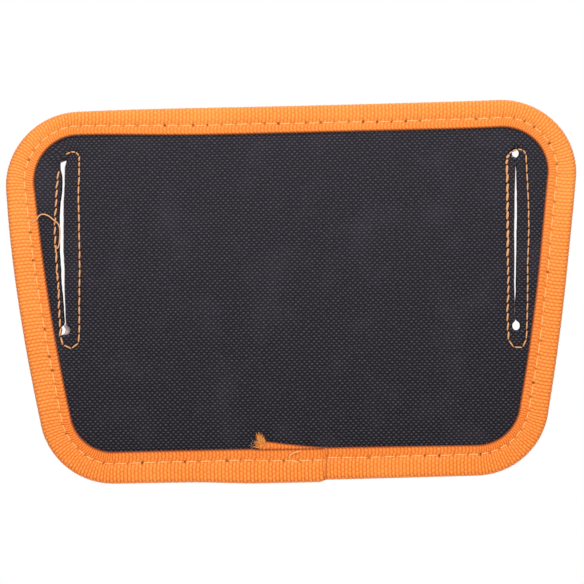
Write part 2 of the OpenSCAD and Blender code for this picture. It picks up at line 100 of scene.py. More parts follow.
RIGHT_HOLES = ((83.4, 30.8, 1.5, 0.2), (82.24, -32.66, 1.7, 0.3))
LEFT_SEAM = (
    (-81.9, 33.9), (-80.6, 34.6), (-79.1, 35.1), (-77.6, 34.5), (-76.9, 33.2), (-77.0, 30.7), (-77.2, 24.6),
    (-77.6, 18.5), (-77.5, 12.4), (-77.6, 6.3), (-77.6, -0.1), (-77.7, -8.3), (-78.0, -16.4), (-78.2, -24.5),
    (-78.4, -32.6), (-78.9, -35.6), (-80.9, -37.3), (-82.8, -37.1), (-85.2, -34.9), (-85.4, -32.0),
    (-85.3, -28.4), (-85.6, -24.4), (-85.6, -20.3), (-85.6, -16.3), (-85.8, -12.5), (-86.0, -8.9),
    (-86.1, -5.4), (-86.3, 0.0), (-86.5, 5.0), (-86.4, 9.6), (-86.0, 13.8), (-85.7, 17.2), (-85.6, 20.5),
    (-85.1, 24.5), (-84.6, 28.4), (-83.8, 31.0), (-81.9, 33.9))
RIGHT_SEAM = (
    (81.0, 30.5), (80.2, 29.0), (80.1, 25.7), (80.2, 21.1), (80.1, 17.4), (80.0, 11.8), (79.9, 5.8),
    (79.9, -0.3), (79.7, -4.7), (79.7, -9.1), (79.7, -14.6), (79.6, -20.0), (79.2, -25.4), (79.1, -30.8),
    (79.3, -36.2), (79.5, -38.6), (80.7, -40.3), (82.9, -41.1), (84.5, -40.5), (85.7, -39.0), (86.0, -35.0),
    (86.4, -28.2), (86.6, -22.8), (86.8, -17.4), (86.9, -12.0), (87.1, -6.6), (87.5, -1.2), (87.7, 5.7),
    (87.7, 11.8), (87.6, 17.9), (87.4, 23.9), (87.3, 28.5), (87.0, 31.1), (85.9, 32.0), (84.7, 32.2),
    (82.9, 31.9), (81.0, 30.5))


def mix(a, b, t):
    return a + (b - a) * t


def ease(t):
    c = min(1.0, max(0.0, t))
    return c * c * (3 - 2 * c)


# ---- materials ------------------------------------------------------------------


def linear(code):
    """An sRGB hex value as the linear colour that a shader takes."""
    parts = [int(code[k : k + 2], 16) / 255 for k in (0, 2, 4)]
    return (*(p / 12.92 if p <= 0.04045 else ((p + 0.055) / 1.055) ** 2.4 for p in parts), 1.0)


def add_node(tree, kind, inputs=None, **settings):
    """Adds a shader node: settings go on the node, inputs are values, or sockets to link."""
    made = tree.nodes.new("ShaderNode" + kind)
    for key, value in settings.items():
        setattr(made, key, value)
    for key, value in (inputs or {}).items():
        if isinstance(value, bpy.types.NodeSocket):
            tree.links.new(value, made.inputs[key])
        else:
            made.inputs[key].default_value = value
    return made


def new_material(name):
    made = bpy.data.materials.new(name)
    made.use_nodes = True
    made.node_tree.nodes.clear()
    return made, made.node_tree


def end_material(tree, shader):
    add_node(tree, "OutputMaterial", {"Surface": shader.outputs["BSDF"]})


def calc(tree, operation, *terms):
    """The result of a sum or function of values or sockets."""
    return add_node(tree, "Math", dict(enumerate(terms)), operation=operation).outputs[0]


def remap(tree, value, low, high, at_low, at_high):
    """A value from low to high turned into one from at_low to at_high, and held there beyond them."""
    return add_node(tree, "MapRange", {0: value, 1: low, 2: high, 3: at_low, 4: at_high}).outputs[0]


def speckle(tree, place, scale, detail):
    return add_node(tree, "TexNoise", {"Vector": place, "Scale": scale, "Detail": detail}).outputs[0]


def place_on(tree):
    return add_node(tree, "TexCoord").outputs["Object"]


def counts_on(tree):
    return add_node(tree, "UVMap", uv_map="UVMap").outputs[0]


def blend_colours(tree, share, low, high):
    """Low turning to high as share goes from 0 to 1; each is a hex value or a socket."""
    low, high = (linear(c) if isinstance(c, str) else c for c in (low, high))
    return add_node(tree, "Mix", {0: share, 6: low, 7: high}, data_type="RGBA").outputs[2]


def woven_cloth(name, dark, light, dust_and_light_tint):
    """Plain-woven polyester canvas, dyed in the yarn: each crossing is a small round highlight on a
    near-black ground, in rows half a step apart. The UV map counts yarns."""
    made, tree = new_material(name)
    uv = counts_on(tree)
    sway = add_node(tree, "TexNoise", {"Vector": uv, "Scale": 0.35, "Detail": 2.0}).outputs["Color"]
    pull = add_node(tree, "VectorMath", {0: sway, "Scale": 0.55}, operation="SCALE").outputs[0]
    drift = add_node(tree, "VectorMath", {0: uv, 1: pull}, operation="ADD").outputs[0]
    shift = add_node(tree, "VectorMath", {0: drift, 1: (-0.275, -0.275, 0.0)}, operation="ADD").outputs[0]
    yarn = add_node(tree, "SeparateXYZ", {0: shift})
    waves = []
    for axis in ("X", "Y"):
        turned = calc(tree, "MULTIPLY", yarn.outputs[axis], math.pi)
        waves.append(calc(tree, "SINE", turned))
    weave = calc(tree, "MULTIPLY", waves[0], waves[1])
    posts, rows = (calc(tree, "MULTIPLY", w, w) for w in waves)
    rowed = calc(tree, "MULTIPLY_ADD", rows, 1.0, weave)
    relief = calc(tree, "MULTIPLY_ADD", posts, 0.4, rowed)
    crossing = remap(tree, relief, 0.1, 1.8, 0.0, 1.0)
    slub = speckle(tree, uv, 0.9, 3.0)
    place = place_on(tree)
    worn = speckle(tree, place, 60.0, 5.0)
    varied = calc(tree, "MULTIPLY", crossing, slub)
    lifted = remap(tree, varied, 0.04, 0.66, 0.0, 1.0)
    base = blend_colours(tree, lifted, dark, light)
    marks = remap(tree, worn, 0.5, 0.8, 0.0, 0.09)
    # Painted highlight: the cloth is made paler towards the top, where the light falls from above. This is
    # added to the random dust marks and mixed towards the last colour.
    level = add_node(tree, "SeparateXYZ", {0: place}).outputs["Z"]
    painted_top_light = remap(tree, level, -0.08, 0.05, 0.0, 0.08)
    dust_and_top_light = calc(tree, "ADD", marks, painted_top_light)
    colour = blend_colours(tree, dust_and_top_light, base, dust_and_light_tint)
    # Painted shade in the needle holes of the slot seams.
    pit_shade = add_node(tree, "Attribute", attribute_name="pit_shade").outputs["Fac"]
    colour = blend_colours(tree, pit_shade, colour, "08080A")
    bump = add_node(tree, "Bump", {"Strength": 0.9, "Distance": 0.00026, "Height": crossing})
    shader = add_node(tree, "BsdfPrincipled", {
        "Base Color": colour, "Roughness": 0.72, "Normal": bump.outputs[0],
        "Specular IOR Level": 0.12})
    end_material(tree, shader)
    return made


def ribbed_tape(name, valley, crest, wear_and_light_tint, deep):
    """Woven polypropylene grosgrain, soft and slightly glossy: cross ribs 1.33 mm apart with painted shade in
    the valleys and painted highlight on the crests, fine lengthwise yarns, and a tighter, deeper band inside
    the stitching. The UV map counts ribs along the tape and millimetres across it."""
    made, tree = new_material(name)
    uv = counts_on(tree)
    across = add_node(tree, "SeparateXYZ", {0: uv})
    turned = calc(tree, "MULTIPLY", across.outputs["X"], math.pi)
    wave = calc(tree, "SINE", turned)
    rib = calc(tree, "ABSOLUTE", wave)
    fine = calc(tree, "MULTIPLY", across.outputs["Y"], math.pi / 0.86)
    warp = calc(tree, "SINE", fine)
    brick = calc(tree, "MULTIPLY", warp, wave)
    slub = speckle(tree, uv, 1.3, 4.0)
    height = calc(tree, "MULTIPLY_ADD", brick, 0.38, rib)
    tone = calc(tree, "MULTIPLY_ADD", slub, 0.9, height)
    share = remap(tree, tone, 0.5, 1.45, 0.0, 1.0)
    # Painted shade in the rib valleys and painted highlight on the crests, following the rib relief.
    base = blend_colours(tree, share, valley, crest)
    place = place_on(tree)
    patch = speckle(tree, place, 30.0, 2.0)
    worn = remap(tree, patch, 0.45, 0.75, 0.0, 0.16)
    # Painted highlight: the tape is made paler towards the top, where the light falls from above. This is
    # added to the random worn patches and mixed towards the third colour.
    level = add_node(tree, "SeparateXYZ", {0: place}).outputs["Z"]
    painted_top_light = remap(tree, level, -0.09, 0.05, 0.0, 0.15)
    wear_and_top_light = calc(tree, "ADD", worn, painted_top_light)
    colour = blend_colours(tree, wear_and_top_light, base, wear_and_light_tint)
    band = remap(tree, across.outputs["Y"], 2.6, 3.8, 0.24, 0.0)
    colour = blend_colours(tree, band, colour, deep)
    # Painted shade along the tape's inner edge, where it meets the cloth.
    rim = remap(tree, across.outputs["Y"], 0.2, 0.9, 0.85, 0.0)
    colour = blend_colours(tree, rim, colour, "6A2408")
    # Painted shade in the needle holes and along the crease at the tape's folded end.
    pit_shade = add_node(tree, "Attribute", attribute_name="pit_shade").outputs["Fac"]
    colour = blend_colours(tree, pit_shade, colour, "2A1204")
    bump = add_node(tree, "Bump", {"Strength": 0.5, "Distance": 0.00018, "Height": height})
    shader = add_node(tree, "BsdfPrincipled", {
        "Base Color": colour, "Roughness": 0.62, "Normal": bump.outputs[0],
        "Specular IOR Level": 0.25, "Sheen Weight": 0.05, "Sheen Roughness": 0.5})
    end_material(tree, shader)
    return made


def twisted_thread(name, shade, lit):
    """Bonded polyester sewing thread: a smooth filament twist, with painted highlight and shade mixed along
    it by noise.
    """
    made, tree = new_material(name)
    place = place_on(tree)
    twist = speckle(tree, place, 2600.0, 1.0)
    colour = blend_colours(tree, twist, shade, lit)
    bump = add_node(tree, "Bump", {"Strength": 0.35, "Distance": 0.00008, "Height": twist})
    shader = add_node(tree, "BsdfPrincipled", {
        "Base Color": colour, "Roughness": 0.5, "Normal": bump.outputs[0], "Specular IOR Level": 0.3})
    end_material(tree, shader)
    return made


def nylon_webbing(name, dark, light):
    """Flat nylon webbing, shuttle-woven: a herringbone of slanting yarns 1.6 mm wide with a slight gloss.
    The UV map is in millimetres, along and across."""
    made, tree = new_material(name)
    uv = counts_on(tree)
    flat = add_node(tree, "SeparateXYZ", {0: uv})
    bands = calc(tree, "PINGPONG", flat.outputs["Y"], 1.6)
    slant = calc(tree, "MULTIPLY_ADD", bands, 0.9, flat.outputs["X"])
    turned = calc(tree, "MULTIPLY", slant, 2 * math.pi / 1.1)
    wave = calc(tree, "SINE", turned)
    share = remap(tree, wave, -1.0, 1.0, 0.0, 1.0)
    colour = blend_colours(tree, share, dark, light)
    bump = add_node(tree, "Bump", {"Strength": 0.7, "Distance": 0.0002, "Height": share})
    shader = add_node(tree, "BsdfPrincipled", {
        "Base Color": colour, "Roughness": 0.5, "Normal": bump.outputs[0], "Specular IOR Level": 0.35})
    end_material(tree, shader)
    return made


def cut_foam(name, dark, light):
    """Closed-cell polyethylene foam, knife cut: matt grey with fine open cells about 0.4 mm across."""
    made, tree = new_material(name)
    place = place_on(tree)
    cells = add_node(tree, "TexVoronoi", {"Vector": place, "Scale": 2500.0}).outputs["Distance"]
    colour = blend_colours(tree, cells, dark, light)
    bump = add_node(tree, "Bump", {"Strength": 0.6, "Distance": 0.0001, "Height": cells})
    shader = add_node(tree, "BsdfPrincipled", {
        "Base Color": colour, "Roughness": 0.9, "Normal": bump.outputs[0], "Specular IOR Level": 0.15})
    end_material(tree, shader)
    return made


def plated_brass(name, tint):
    """Nickel-plated brass, stamped and tumbled: a bright warm-grey mirror, a little blurred by scuffs."""
    made, tree = new_material(name)
    place = place_on(tree)
    scuff = speckle(tree, place, 900.0, 4.0)
    rough = remap(tree, scuff, 0.3, 0.7, 0.18, 0.36)
    bump = add_node(tree, "Bump", {"Strength": 0.15, "Distance": 0.00002, "Height": scuff})
    shader = add_node(tree, "BsdfPrincipled", {
        "Base Color": linear(tint), "Metallic": 1.0, "Roughness": rough, "Normal": bump.outputs[0]})
    end_material(tree, shader)
    return made


def studio_paper(name, tint):
    """Matt white seamless paper, with the faintest tooth."""
    made, tree = new_material(name)
    place = place_on(tree)
    tooth = add_node(tree, "TexNoise", {"Vector": place, "Scale": 800.0}).outputs[0]
    bump = add_node(tree, "Bump", {"Strength": 0.05, "Distance": 0.0001, "Height": tooth})
    shader = add_node(tree, "BsdfPrincipled", {
        "Base Color": linear(tint), "Roughness": 0.9, "Normal": bump.outputs[0], "Specular IOR Level": 0.1})
    end_material(tree, shader)
    return made


# The canvas's last colour tints both its random dust marks and its painted highlight towards the top.
canvas = woven_cloth("black_polyester_canvas", "08070A", "48444E", "5A5662")
# The tape's valley and crest colours are painted rib shade and highlight. Its third colour tints both its
# worn patches and its painted highlight towards the top.
tape_cloth = ribbed_tape("orange_grosgrain_tape", "BE560E", "EE8834", "F0A450", "CE5E0E")
peach_thread = twisted_thread("peach_bonded_thread", "B07040", "E0A878")
orange_thread = twisted_thread("orange_bonded_thread", "D89048", "E8B070")
frayed_yarn = twisted_thread("orange_frayed_yarn", "C87428", "E49A50")
pale_fibre = twisted_thread("pale_tape_fibre", "8A7462", "A8927C")
webbing_cloth = nylon_webbing("black_nylon_webbing", "0A0A0C", "36363C")
core_foam = cut_foam("grey_polyethylene_foam", "7A6A68", "BCA8A4")
snap_metal = plated_brass("nickel_plated_brass", "C8C4BC")
floor_paper = studio_paper("white_studio_paper", "F2F2F0")

# ---- making a piece -------------------------------------------------------------


def grid(columns, rows, place, count=None, ring=False):
    """A sheet of columns x rows cells. place(i, j) gives a corner's point, count(i, j) its weave count."""
    bm = bmesh.new()
    bmesh.ops.create_grid(bm, x_segments=columns, y_segments=rows, size=0.5)
    spots = {v: (round((v.co.x + 0.5) * columns), round((v.co.y + 0.5) * rows)) for v in bm.verts}
    if count:
        layer = bm.loops.layers.uv.new("UVMap")
        for face in bm.faces:
            for loop in face.loops:
                loop[layer].uv = count(*spots[loop.vert])
    for v, (i, j) in spots.items():
        v.co = place(i, j)
    if ring:
        bmesh.ops.remove_doubles(bm, verts=bm.verts, dist=0.001)
    return bm


def mark(bm, share_at):
    """Stores at each corner how deep it lies in the painted shade of a needle hole or crease, from 0 to 1."""
    layer = bm.verts.layers.float.new("pit_shade")
    for v in bm.verts:
        v[layer] = share_at(v.co)


def make_piece(name, bm, material, body="pouch", stands_for=(), wall=0.0, ends=False,
               closed=False):
    """Finishes a mesh drawn in millimetres as a piece that rides on a body."""
    if ends:
        rims = [e for e in bm.edges if e.is_boundary]
        bmesh.ops.holes_fill(bm, edges=rims, sides=0)
    if closed:
        bmesh.ops.recalc_face_normals(bm, faces=bm.faces)
    bmesh.ops.scale(bm, verts=bm.verts, vec=(MM, MM, MM))
    mesh = bpy.data.meshes.new(name)
    bm.to_mesh(mesh)
    bm.free()
    mesh.polygons.foreach_set("use_smooth", [True] * len(mesh.polygons))
    mesh.materials.append(material)
    piece = bpy.data.objects.new(name, mesh)
    bpy.context.scene.collection.objects.link(piece)
    if wall:
        thick = piece.modifiers.new("cloth_thickness", "SOLIDIFY")
        thick.thickness = wall * MM
        thick.offset = -1
    if body:
        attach(piece, body)
    if stands_for:
        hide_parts(*stands_for)
    return piece


def make_stitching(name, bm, thread, node):
    make_piece(name, bm, thread, stands_for=(node,))


class Path:
    """A line through points that gives its point and its direction at any length along it."""

    def __init__(self, points):
        self.points = [Vector(p) for p in points]
        self.run = [0.0]
        for a, b in zip(self.points, self.points[1:]):
            self.run.append(self.run[-1] + (b - a).length)
        self.length = self.run[-1]
        last = len(self.points) - 1
        self.ways = [
            (self.points[min(k + 1, last)] - self.points[max(k - 1, 0)]).normalized()
            for k in range(last + 1)]

    def at(self, s):
        low, high = 0, len(self.run) - 1
        s = min(max(s, 0.0), self.length)
        while high - low > 1:
            middle = (low + high) // 2
            low, high = (middle, high) if self.run[middle] <= s else (low, middle)
        t = (s - self.run[low]) / max(self.run[high] - self.run[low], 1e-6)
        way = self.ways[low].lerp(self.ways[high], t)
        return self.points[low].lerp(self.points[high], t), way.normalized()


def rounded(points, steps=6):
    """A smooth curve through points, as a list with steps points to each stretch."""
    pts = [Vector(p) for p in points]
    out = []
    for k in range(len(pts) - 1):
        p0, p1, p2, p3 = pts[max(k - 1, 0)], pts[k], pts[k + 1], pts[min(k + 2, len(pts) - 1)]
        for j in range(steps):
            t = j / steps
            out.append(0.5 * (2 * p1 + (p2 - p0) * t + (2 * p0 - 5 * p1 + 4 * p2 - p3) * t**2
                              + (3 * p1 - p0 - 3 * p2 + p3) * t**3))
    return out + [pts[-1]]


def add_stitch(bm, start, end, out, thick=0.27, dip=0.22):
    """One stitch from start to end: a short run of thread that dips into its needle holes."""
    along = end - start
    length = along.length
    along.normalize()
    side = along.cross(out).normalized()
    up = side.cross(along)
    made = bmesh.ops.create_uvsphere(bm, u_segments=8, v_segments=6, radius=1.0)
    for v in made["verts"]:
        x, y, t = v.co
        run = math.copysign(abs(t) ** 0.6, t)
        spot = (start + end) / 2 + along * run * length / 2
        v.co = spot + side * x * thick + up * (y * thick - dip * run**4)


# ---- panel outline and tape -----------------------------------------------------

CORNERS = [Vector(c) for c in (
    (PANEL_BOTTOM_W / 2, -PANEL_DROP), (PANEL_TOP_W / 2, PANEL_TOP_Z),
    (-PANEL_TOP_W / 2, PANEL_TOP_Z), (-PANEL_BOTTOM_W / 2, -PANEL_DROP))]


def corner_arc(before, corner, after, steps=24):
    back, ahead = (before - corner).normalized(), (after - corner).normalized()
    half = back.angle(ahead) / 2
    centre = corner + (back + ahead).normalized() * CORNER_R / math.sin(half)
    start = corner + back * CORNER_R / math.tan(half) - centre
    first, sweep = math.atan2(start.y, start.x), math.pi - 2 * half
    turns = [first + sweep * k / steps for k in range(steps + 1)]
    return (centre, first, sweep), [centre + CORNER_R * Vector((math.cos(a), math.sin(a))) for a in turns]


ARCS = [corner_arc(CORNERS[k - 1], CORNERS[k], CORNERS[(k + 1) % 4]) for k in range(4)]


def panel_edge():
    """The outline, counter-clockwise from where the tape starts, as points in x and z."""
    arcs = [points for _, points in ARCS]
    start = Vector((TAPE_START_X, -PANEL_DROP))
    points = [start + (arcs[0][0] - start) * k / 30 for k in range(30)]
    for k in range(4):
        points += arcs[k]
        if k < 3:
            a, b = arcs[k][-1], arcs[k + 1][0]
            way = (b - a).normalized()
            bow = SIDE_BOW if k != 1 else 0.0
            points += [a.lerp(b, j / 30) + Vector((way.y, -way.x)) * bow * 4 * (j / 30) * (1 - j / 30)
                       for j in range(1, 30)]
    end = arcs[3][-1]
    return points + [end.lerp(start, k / 30) for k in range(1, 31)]


EDGE = Path(panel_edge())
RIB = EDGE.length / RIB_COUNT


def edge_at(s):
    """Point on the outline, direction along it and direction inwards, each in x and z."""
    point, way = EDGE.at(s % EDGE.length)
    return point, way, Vector((-way.y, way.x))


def round_share(s):
    """A place along the tape as a share of the round, clockwise from the left side's upper end."""
    return (TAPE_START_SHARE - s / EDGE.length) % 1


def near_share(share, middle, reach):
    """1 at the middle, falling off to 0 on both sides, round the whole panel."""
    return math.exp(-((((share - middle + 0.5) % 1 - 0.5) / reach) ** 2))


def tape_short(s):
    """How far the tape's fold lies inside the outline: most at upper left, least at upper right."""
    share = round_share(s)
    corners = 0.95 * near_share(share, 0.045, 0.05) - 1.1 * near_share(share, 0.375, 0.04)
    return 0.2 + corners + 0.2 * math.sin(6 * math.pi * share - 2.0)


def tape_reach(s):
    """How far in the tape's edge reaches: furthest along the bottom, least at the two upper corners."""
    share = round_share(s)
    corners = 1.4 * near_share(share, 0.075, 0.05) + 1.2 * near_share(share, 0.365, 0.04)
    return 11.35 + 0.85 * math.cos(2 * math.pi * (share - 0.77)) - corners


def lap_lift(s, lead=3.0):
    """How far the tape's last stretch is lifted off its own start, which it lies on, rising over lead."""
    return 0.85 * ease((s - EDGE.length + lead) / (lead + 0.6))


def skew(s):
    """How far the tape's raw start strays inwards from under the lap."""
    return 3.1 * max(0.0, 1 - s / 26) ** 1.3


def stitch_depth(s):
    """How far in from the tape's inner edge the stitching runs."""
    lower = 0.75 * ease((s - EDGE.length + 80) / 20) + (0.25 if s < 70 else 0.0)
    return 3.55 + lower + 0.12 * math.sin(s / 17) + 0.08 * math.sin(s / 5.3)


def fold_rows(core, front_leg, back_leg, roll, front_rows, back_rows, turns=8):
    """The section of a tape folded over an edge: for each row its distance in, its height over the
    middle of what it binds, its outward direction, and how much of the weave stands out there."""
    half = core / 2 + TAPE_T
    rows = [(front_leg, half - TAPE_T, 1, 0, 0), (front_leg, half - 0.35, 0.9, 0.4, 0.2),
            (front_leg - 0.3, half - 0.05, 0.2, 1, 0.6)]
    rows += [(mix(front_leg - 0.7, roll, k / front_rows), half, 0, 1, 1) for k in range(front_rows)]
    for k in range(turns + 1):
        a = math.pi * k / turns
        rows.append((roll * (1 - math.sin(a)), half * math.cos(a), -math.sin(a), math.cos(a), 1))
    rows += [(mix(roll, back_leg - 0.5, k / back_rows), -half, 0, -1, 1) for k in range(1, back_rows + 1)]
    rows += [(back_leg, -half + 0.3, 1, 0, 0.2), (back_leg, -half + TAPE_T, 1, 0, 0),
             (1.2 + TAPE_T, -half + TAPE_T, 0, 1, 0), (TAPE_T, 0, 1, 0, 0),
             (1.2 + TAPE_T, half - TAPE_T, 0, -1, 0)]
    rows.append(rows[0])
    return rows


def rib_height(ribs):
    return abs(math.sin(math.pi * ribs))


def edge_tape():
    """The tape bound round the panel, in one open strip whose end lies over its start."""
    per_rib = 4
    total = EDGE.length + LAP
    columns = round(total / RIB * per_rib)
    sections = []
    stitch_count = round(EDGE.length / EDGE_PITCH)
    pitch = EDGE.length / stitch_count
    for i in range(columns + 1):
        s = total * i / columns
        point, way, inward = edge_at(s)
        lift = lap_lift(s) * (1 - 0.75 * ease((s - total + 1.3) / 1.3))
        reach = tape_reach(s) + skew(s) - 0.3 * lift
        out = 0.95 * lap_lift(s, 26.0) * (1 - ease((s - total + 2.4) / 2.4)) - tape_short(s)
        rows = fold_rows(PANEL_T + 2 * lift, reach + out, 11.0 + out, 1.7, 17, 8)
        sections.append((s, point, way, inward, out, reach, rows))

    last = len(sections[0][-1]) - 1

    def place(i, j):
        s, point, way, inward, out, reach, rows = sections[i]
        d, h, nd, nh, shows = rows[j]
        ribs = s / RIB
        inset = d - out
        seam = reach - stitch_depth(s)
        near = (inset - seam) / 0.75
        needle = 0.5 + 0.5 * math.cos(2 * math.pi * (s + 1.0) / pitch)
        groove = (0.28 + 0.30 * needle**3) * math.exp(-near * near) if nh and abs(nh) > 0.9 else 0.0
        outer = ease((seam - inset - 0.4) / 2.2) * ease((inset + out) / 1.6) if nh > 0.9 else 0.0
        pillow = 0.32 * outer + 0.10 * (1 - needle) * outer
        selvage = ease((reach - inset - 0.2) / 1.1)
        firm = ease((inset - seam) / 1.2)
        crest = (0.17 + 0.12 * firm) * (rib_height(ribs) - 0.6) * mix(0.45, 1, selvage)
        height = shows * crest - groove + pillow
        scallop = 0.16 * math.sin(2 * math.pi * ribs) * (1 - selvage) if j % last < 6 else 0.0
        height += shows * 0.05 * noise.noise(Vector((s * 0.9, inset * 0.9, 3.0)))
        wave = 0.12 * noise.noise(Vector((s * 0.11, 5.0, 1.0))) * shows
        turned_end = ease((s - total + 3) / 3)
        slant = turned_end * (0.5 - 0.11 * inset) + (0.55 * firm - 0.25 * outer) * (1 if nh > 0.5 else 0)
        across = inward * (inset + nd * height + scallop) + way * slant
        flat = point + across
        return Vector((flat.x, PANEL_T / 2 - (h + nh * (height + wave)), flat.y))

    def count(i, j):
        s, *_, rows = sections[i]
        return s / RIB, rows[0][0] - rows[j][0] if j < 26 else rows[0][0] + rows[j][0]

    bm = grid(columns, last, place, count, ring=True)
    pits = [edge_needle(k * pitch - 1.0) for k in range(stitch_count + 6)]
    near = Neighbours(pits + [Vector(SLACK_HOLE)], 4.0)
    # Painted shade at the needle holes of the tape's stitching and of the slack stitch, and along the fold's
    # crease.
    mark(bm, lambda co: needle_and_crease_shade(near, co))
    make_piece("edge_tape", bm, tape_cloth, stands_for=("edge_binding", "binding_lap"),
               ends=True, closed=True)


class Neighbours:
    """Points sorted into boxes, for the distance to the nearest one."""

    def __init__(self, points, size):
        self.size, self.boxes = size, {}
        for p in points:
            self.boxes.setdefault(self.key(p), []).append(p)

    def key(self, p):
        return tuple(math.floor(c / self.size) for c in p)

    def distance(self, p):
        x, y, z = self.key(p)
        found = [
            (q - p).length for a in (-1, 0, 1) for b in (-1, 0, 1) for c in (-1, 0, 1)
            for q in self.boxes.get((x + a, y + b, z + c), ())]
        return min(found, default=self.size)


def needle_and_crease_shade(near, co):
    """How dark the painted shade of a needle hole, or of the crease at the tape's folded end, is at a point:
    some holes closed up again, and some stand open.
    """
    open_by = min(1.0, 0.2 + 2.4 * max(0.0, noise.noise(Vector((co.x * 0.31, co.z * 0.31, 8.0)))))
    lean = FOLD_LEAN * (co.z - FOLD_FOOT)
    # Painted shade along the crease where the tape's folded end lies.
    crease = 0.28 * math.exp(-(((co.x - FOLD_X - lean) / 0.5) ** 2)) if co.z < -70 and co.y < 0.2 else 0.0
    return max(crease, open_by * max(0.0, min(1.0, 1.5 - near.distance(co) / 0.5)))


def edge_needle(s):
    """Where the needle went through the tape at length s, on the rear face."""
    point, _, inward = edge_at(s)
    lift = lap_lift(s)
    inset = tape_reach(s) - 0.3 * lift - stitch_depth(s)
    flat = point + inward * inset
    return Vector((flat.x, -(TAPE_T - 0.5 + lift), flat.y))


def edge_stitching():
    """The lockstitch that holds the tape, on the rear and on the front."""
    stitch_count = round(EDGE.length / EDGE_PITCH)
    pitch = EDGE.length / stitch_count
    lapped = math.ceil(LAP / pitch)
    rear, front = bmesh.new(), bmesh.new()
    for k in range(lapped, stitch_count + lapped):
        last = min((k + 1) * pitch - 1.4, EDGE.length + LAP - 0.5)
        a, b = edge_needle(k * pitch - 0.6), edge_needle(last)
        off = Vector((0, -0.22, 0))
        add_stitch(rear, a + off, b + off, Vector((0, -1, 0)), 0.25, 0.25)
    for k in range(stitch_count):
        a, b = edge_needle(k * pitch + 0.45), edge_needle((k + 1) * pitch - 0.45)
        a.y = b.y = PANEL_T + TAPE_T - 0.15
        add_stitch(front, a, b, Vector((0, 1, 0)), 0.30, 0.2)
    make_stitching("edge_stitching_rear", rear, orange_thread, "edge_stitches_rear")
    make_stitching("edge_stitching_front", front, orange_thread, "edge_stitches_front")


# ---- panel cloths with their slots ----------------------------------------------


def cut_at(cut, z):
    """Centre and width of a cut at height z, or None above and below it."""
    if z > cut[0][1] or z < cut[-1][1]:
        return None
    for (x1, z1, w1), (x2, z2, w2) in zip(cut, cut[1:]):
        if z1 >= z >= z2:
            t = (z1 - z) / max(z1 - z2, 1e-6)
            return mix(x1, x2, t), mix(w1, w2, t)
    return None


def seam_distance(seam, x, z):
    """Distance from a point to a sewn seam."""
    p = Vector((x, z))
    best = 99.0
    for a, b in zip(seam, seam[1:]):
        a, b = Vector(a), Vector(b)
        t = min(1.0, max(0.0, (p - a).dot(b - a) / max((b - a).length_squared, 1e-6)))
        best = min(best, (p - a.lerp(b, t)).length)
    return best


def inside_edge(x, z, inset):
    """True where a point of the panel lies at least inset inside its outline."""
    if z > PANEL_TOP_Z - inset or z < -PANEL_DROP + inset:
        return False
    share = (z + PANEL_DROP) / (PANEL_TOP_Z + PANEL_DROP)
    side = mix(PANEL_BOTTOM_W, PANEL_TOP_W, share) / 2 - inset
    if abs(x) > side:
        return False
    for (centre, first, sweep), _ in ARCS:
        away = Vector((x, z)) - centre
        turn = (math.atan2(away.y, away.x) - first) % (2 * math.pi)
        if turn < sweep and away.length > CORNER_R - inset:
            return False
    return True


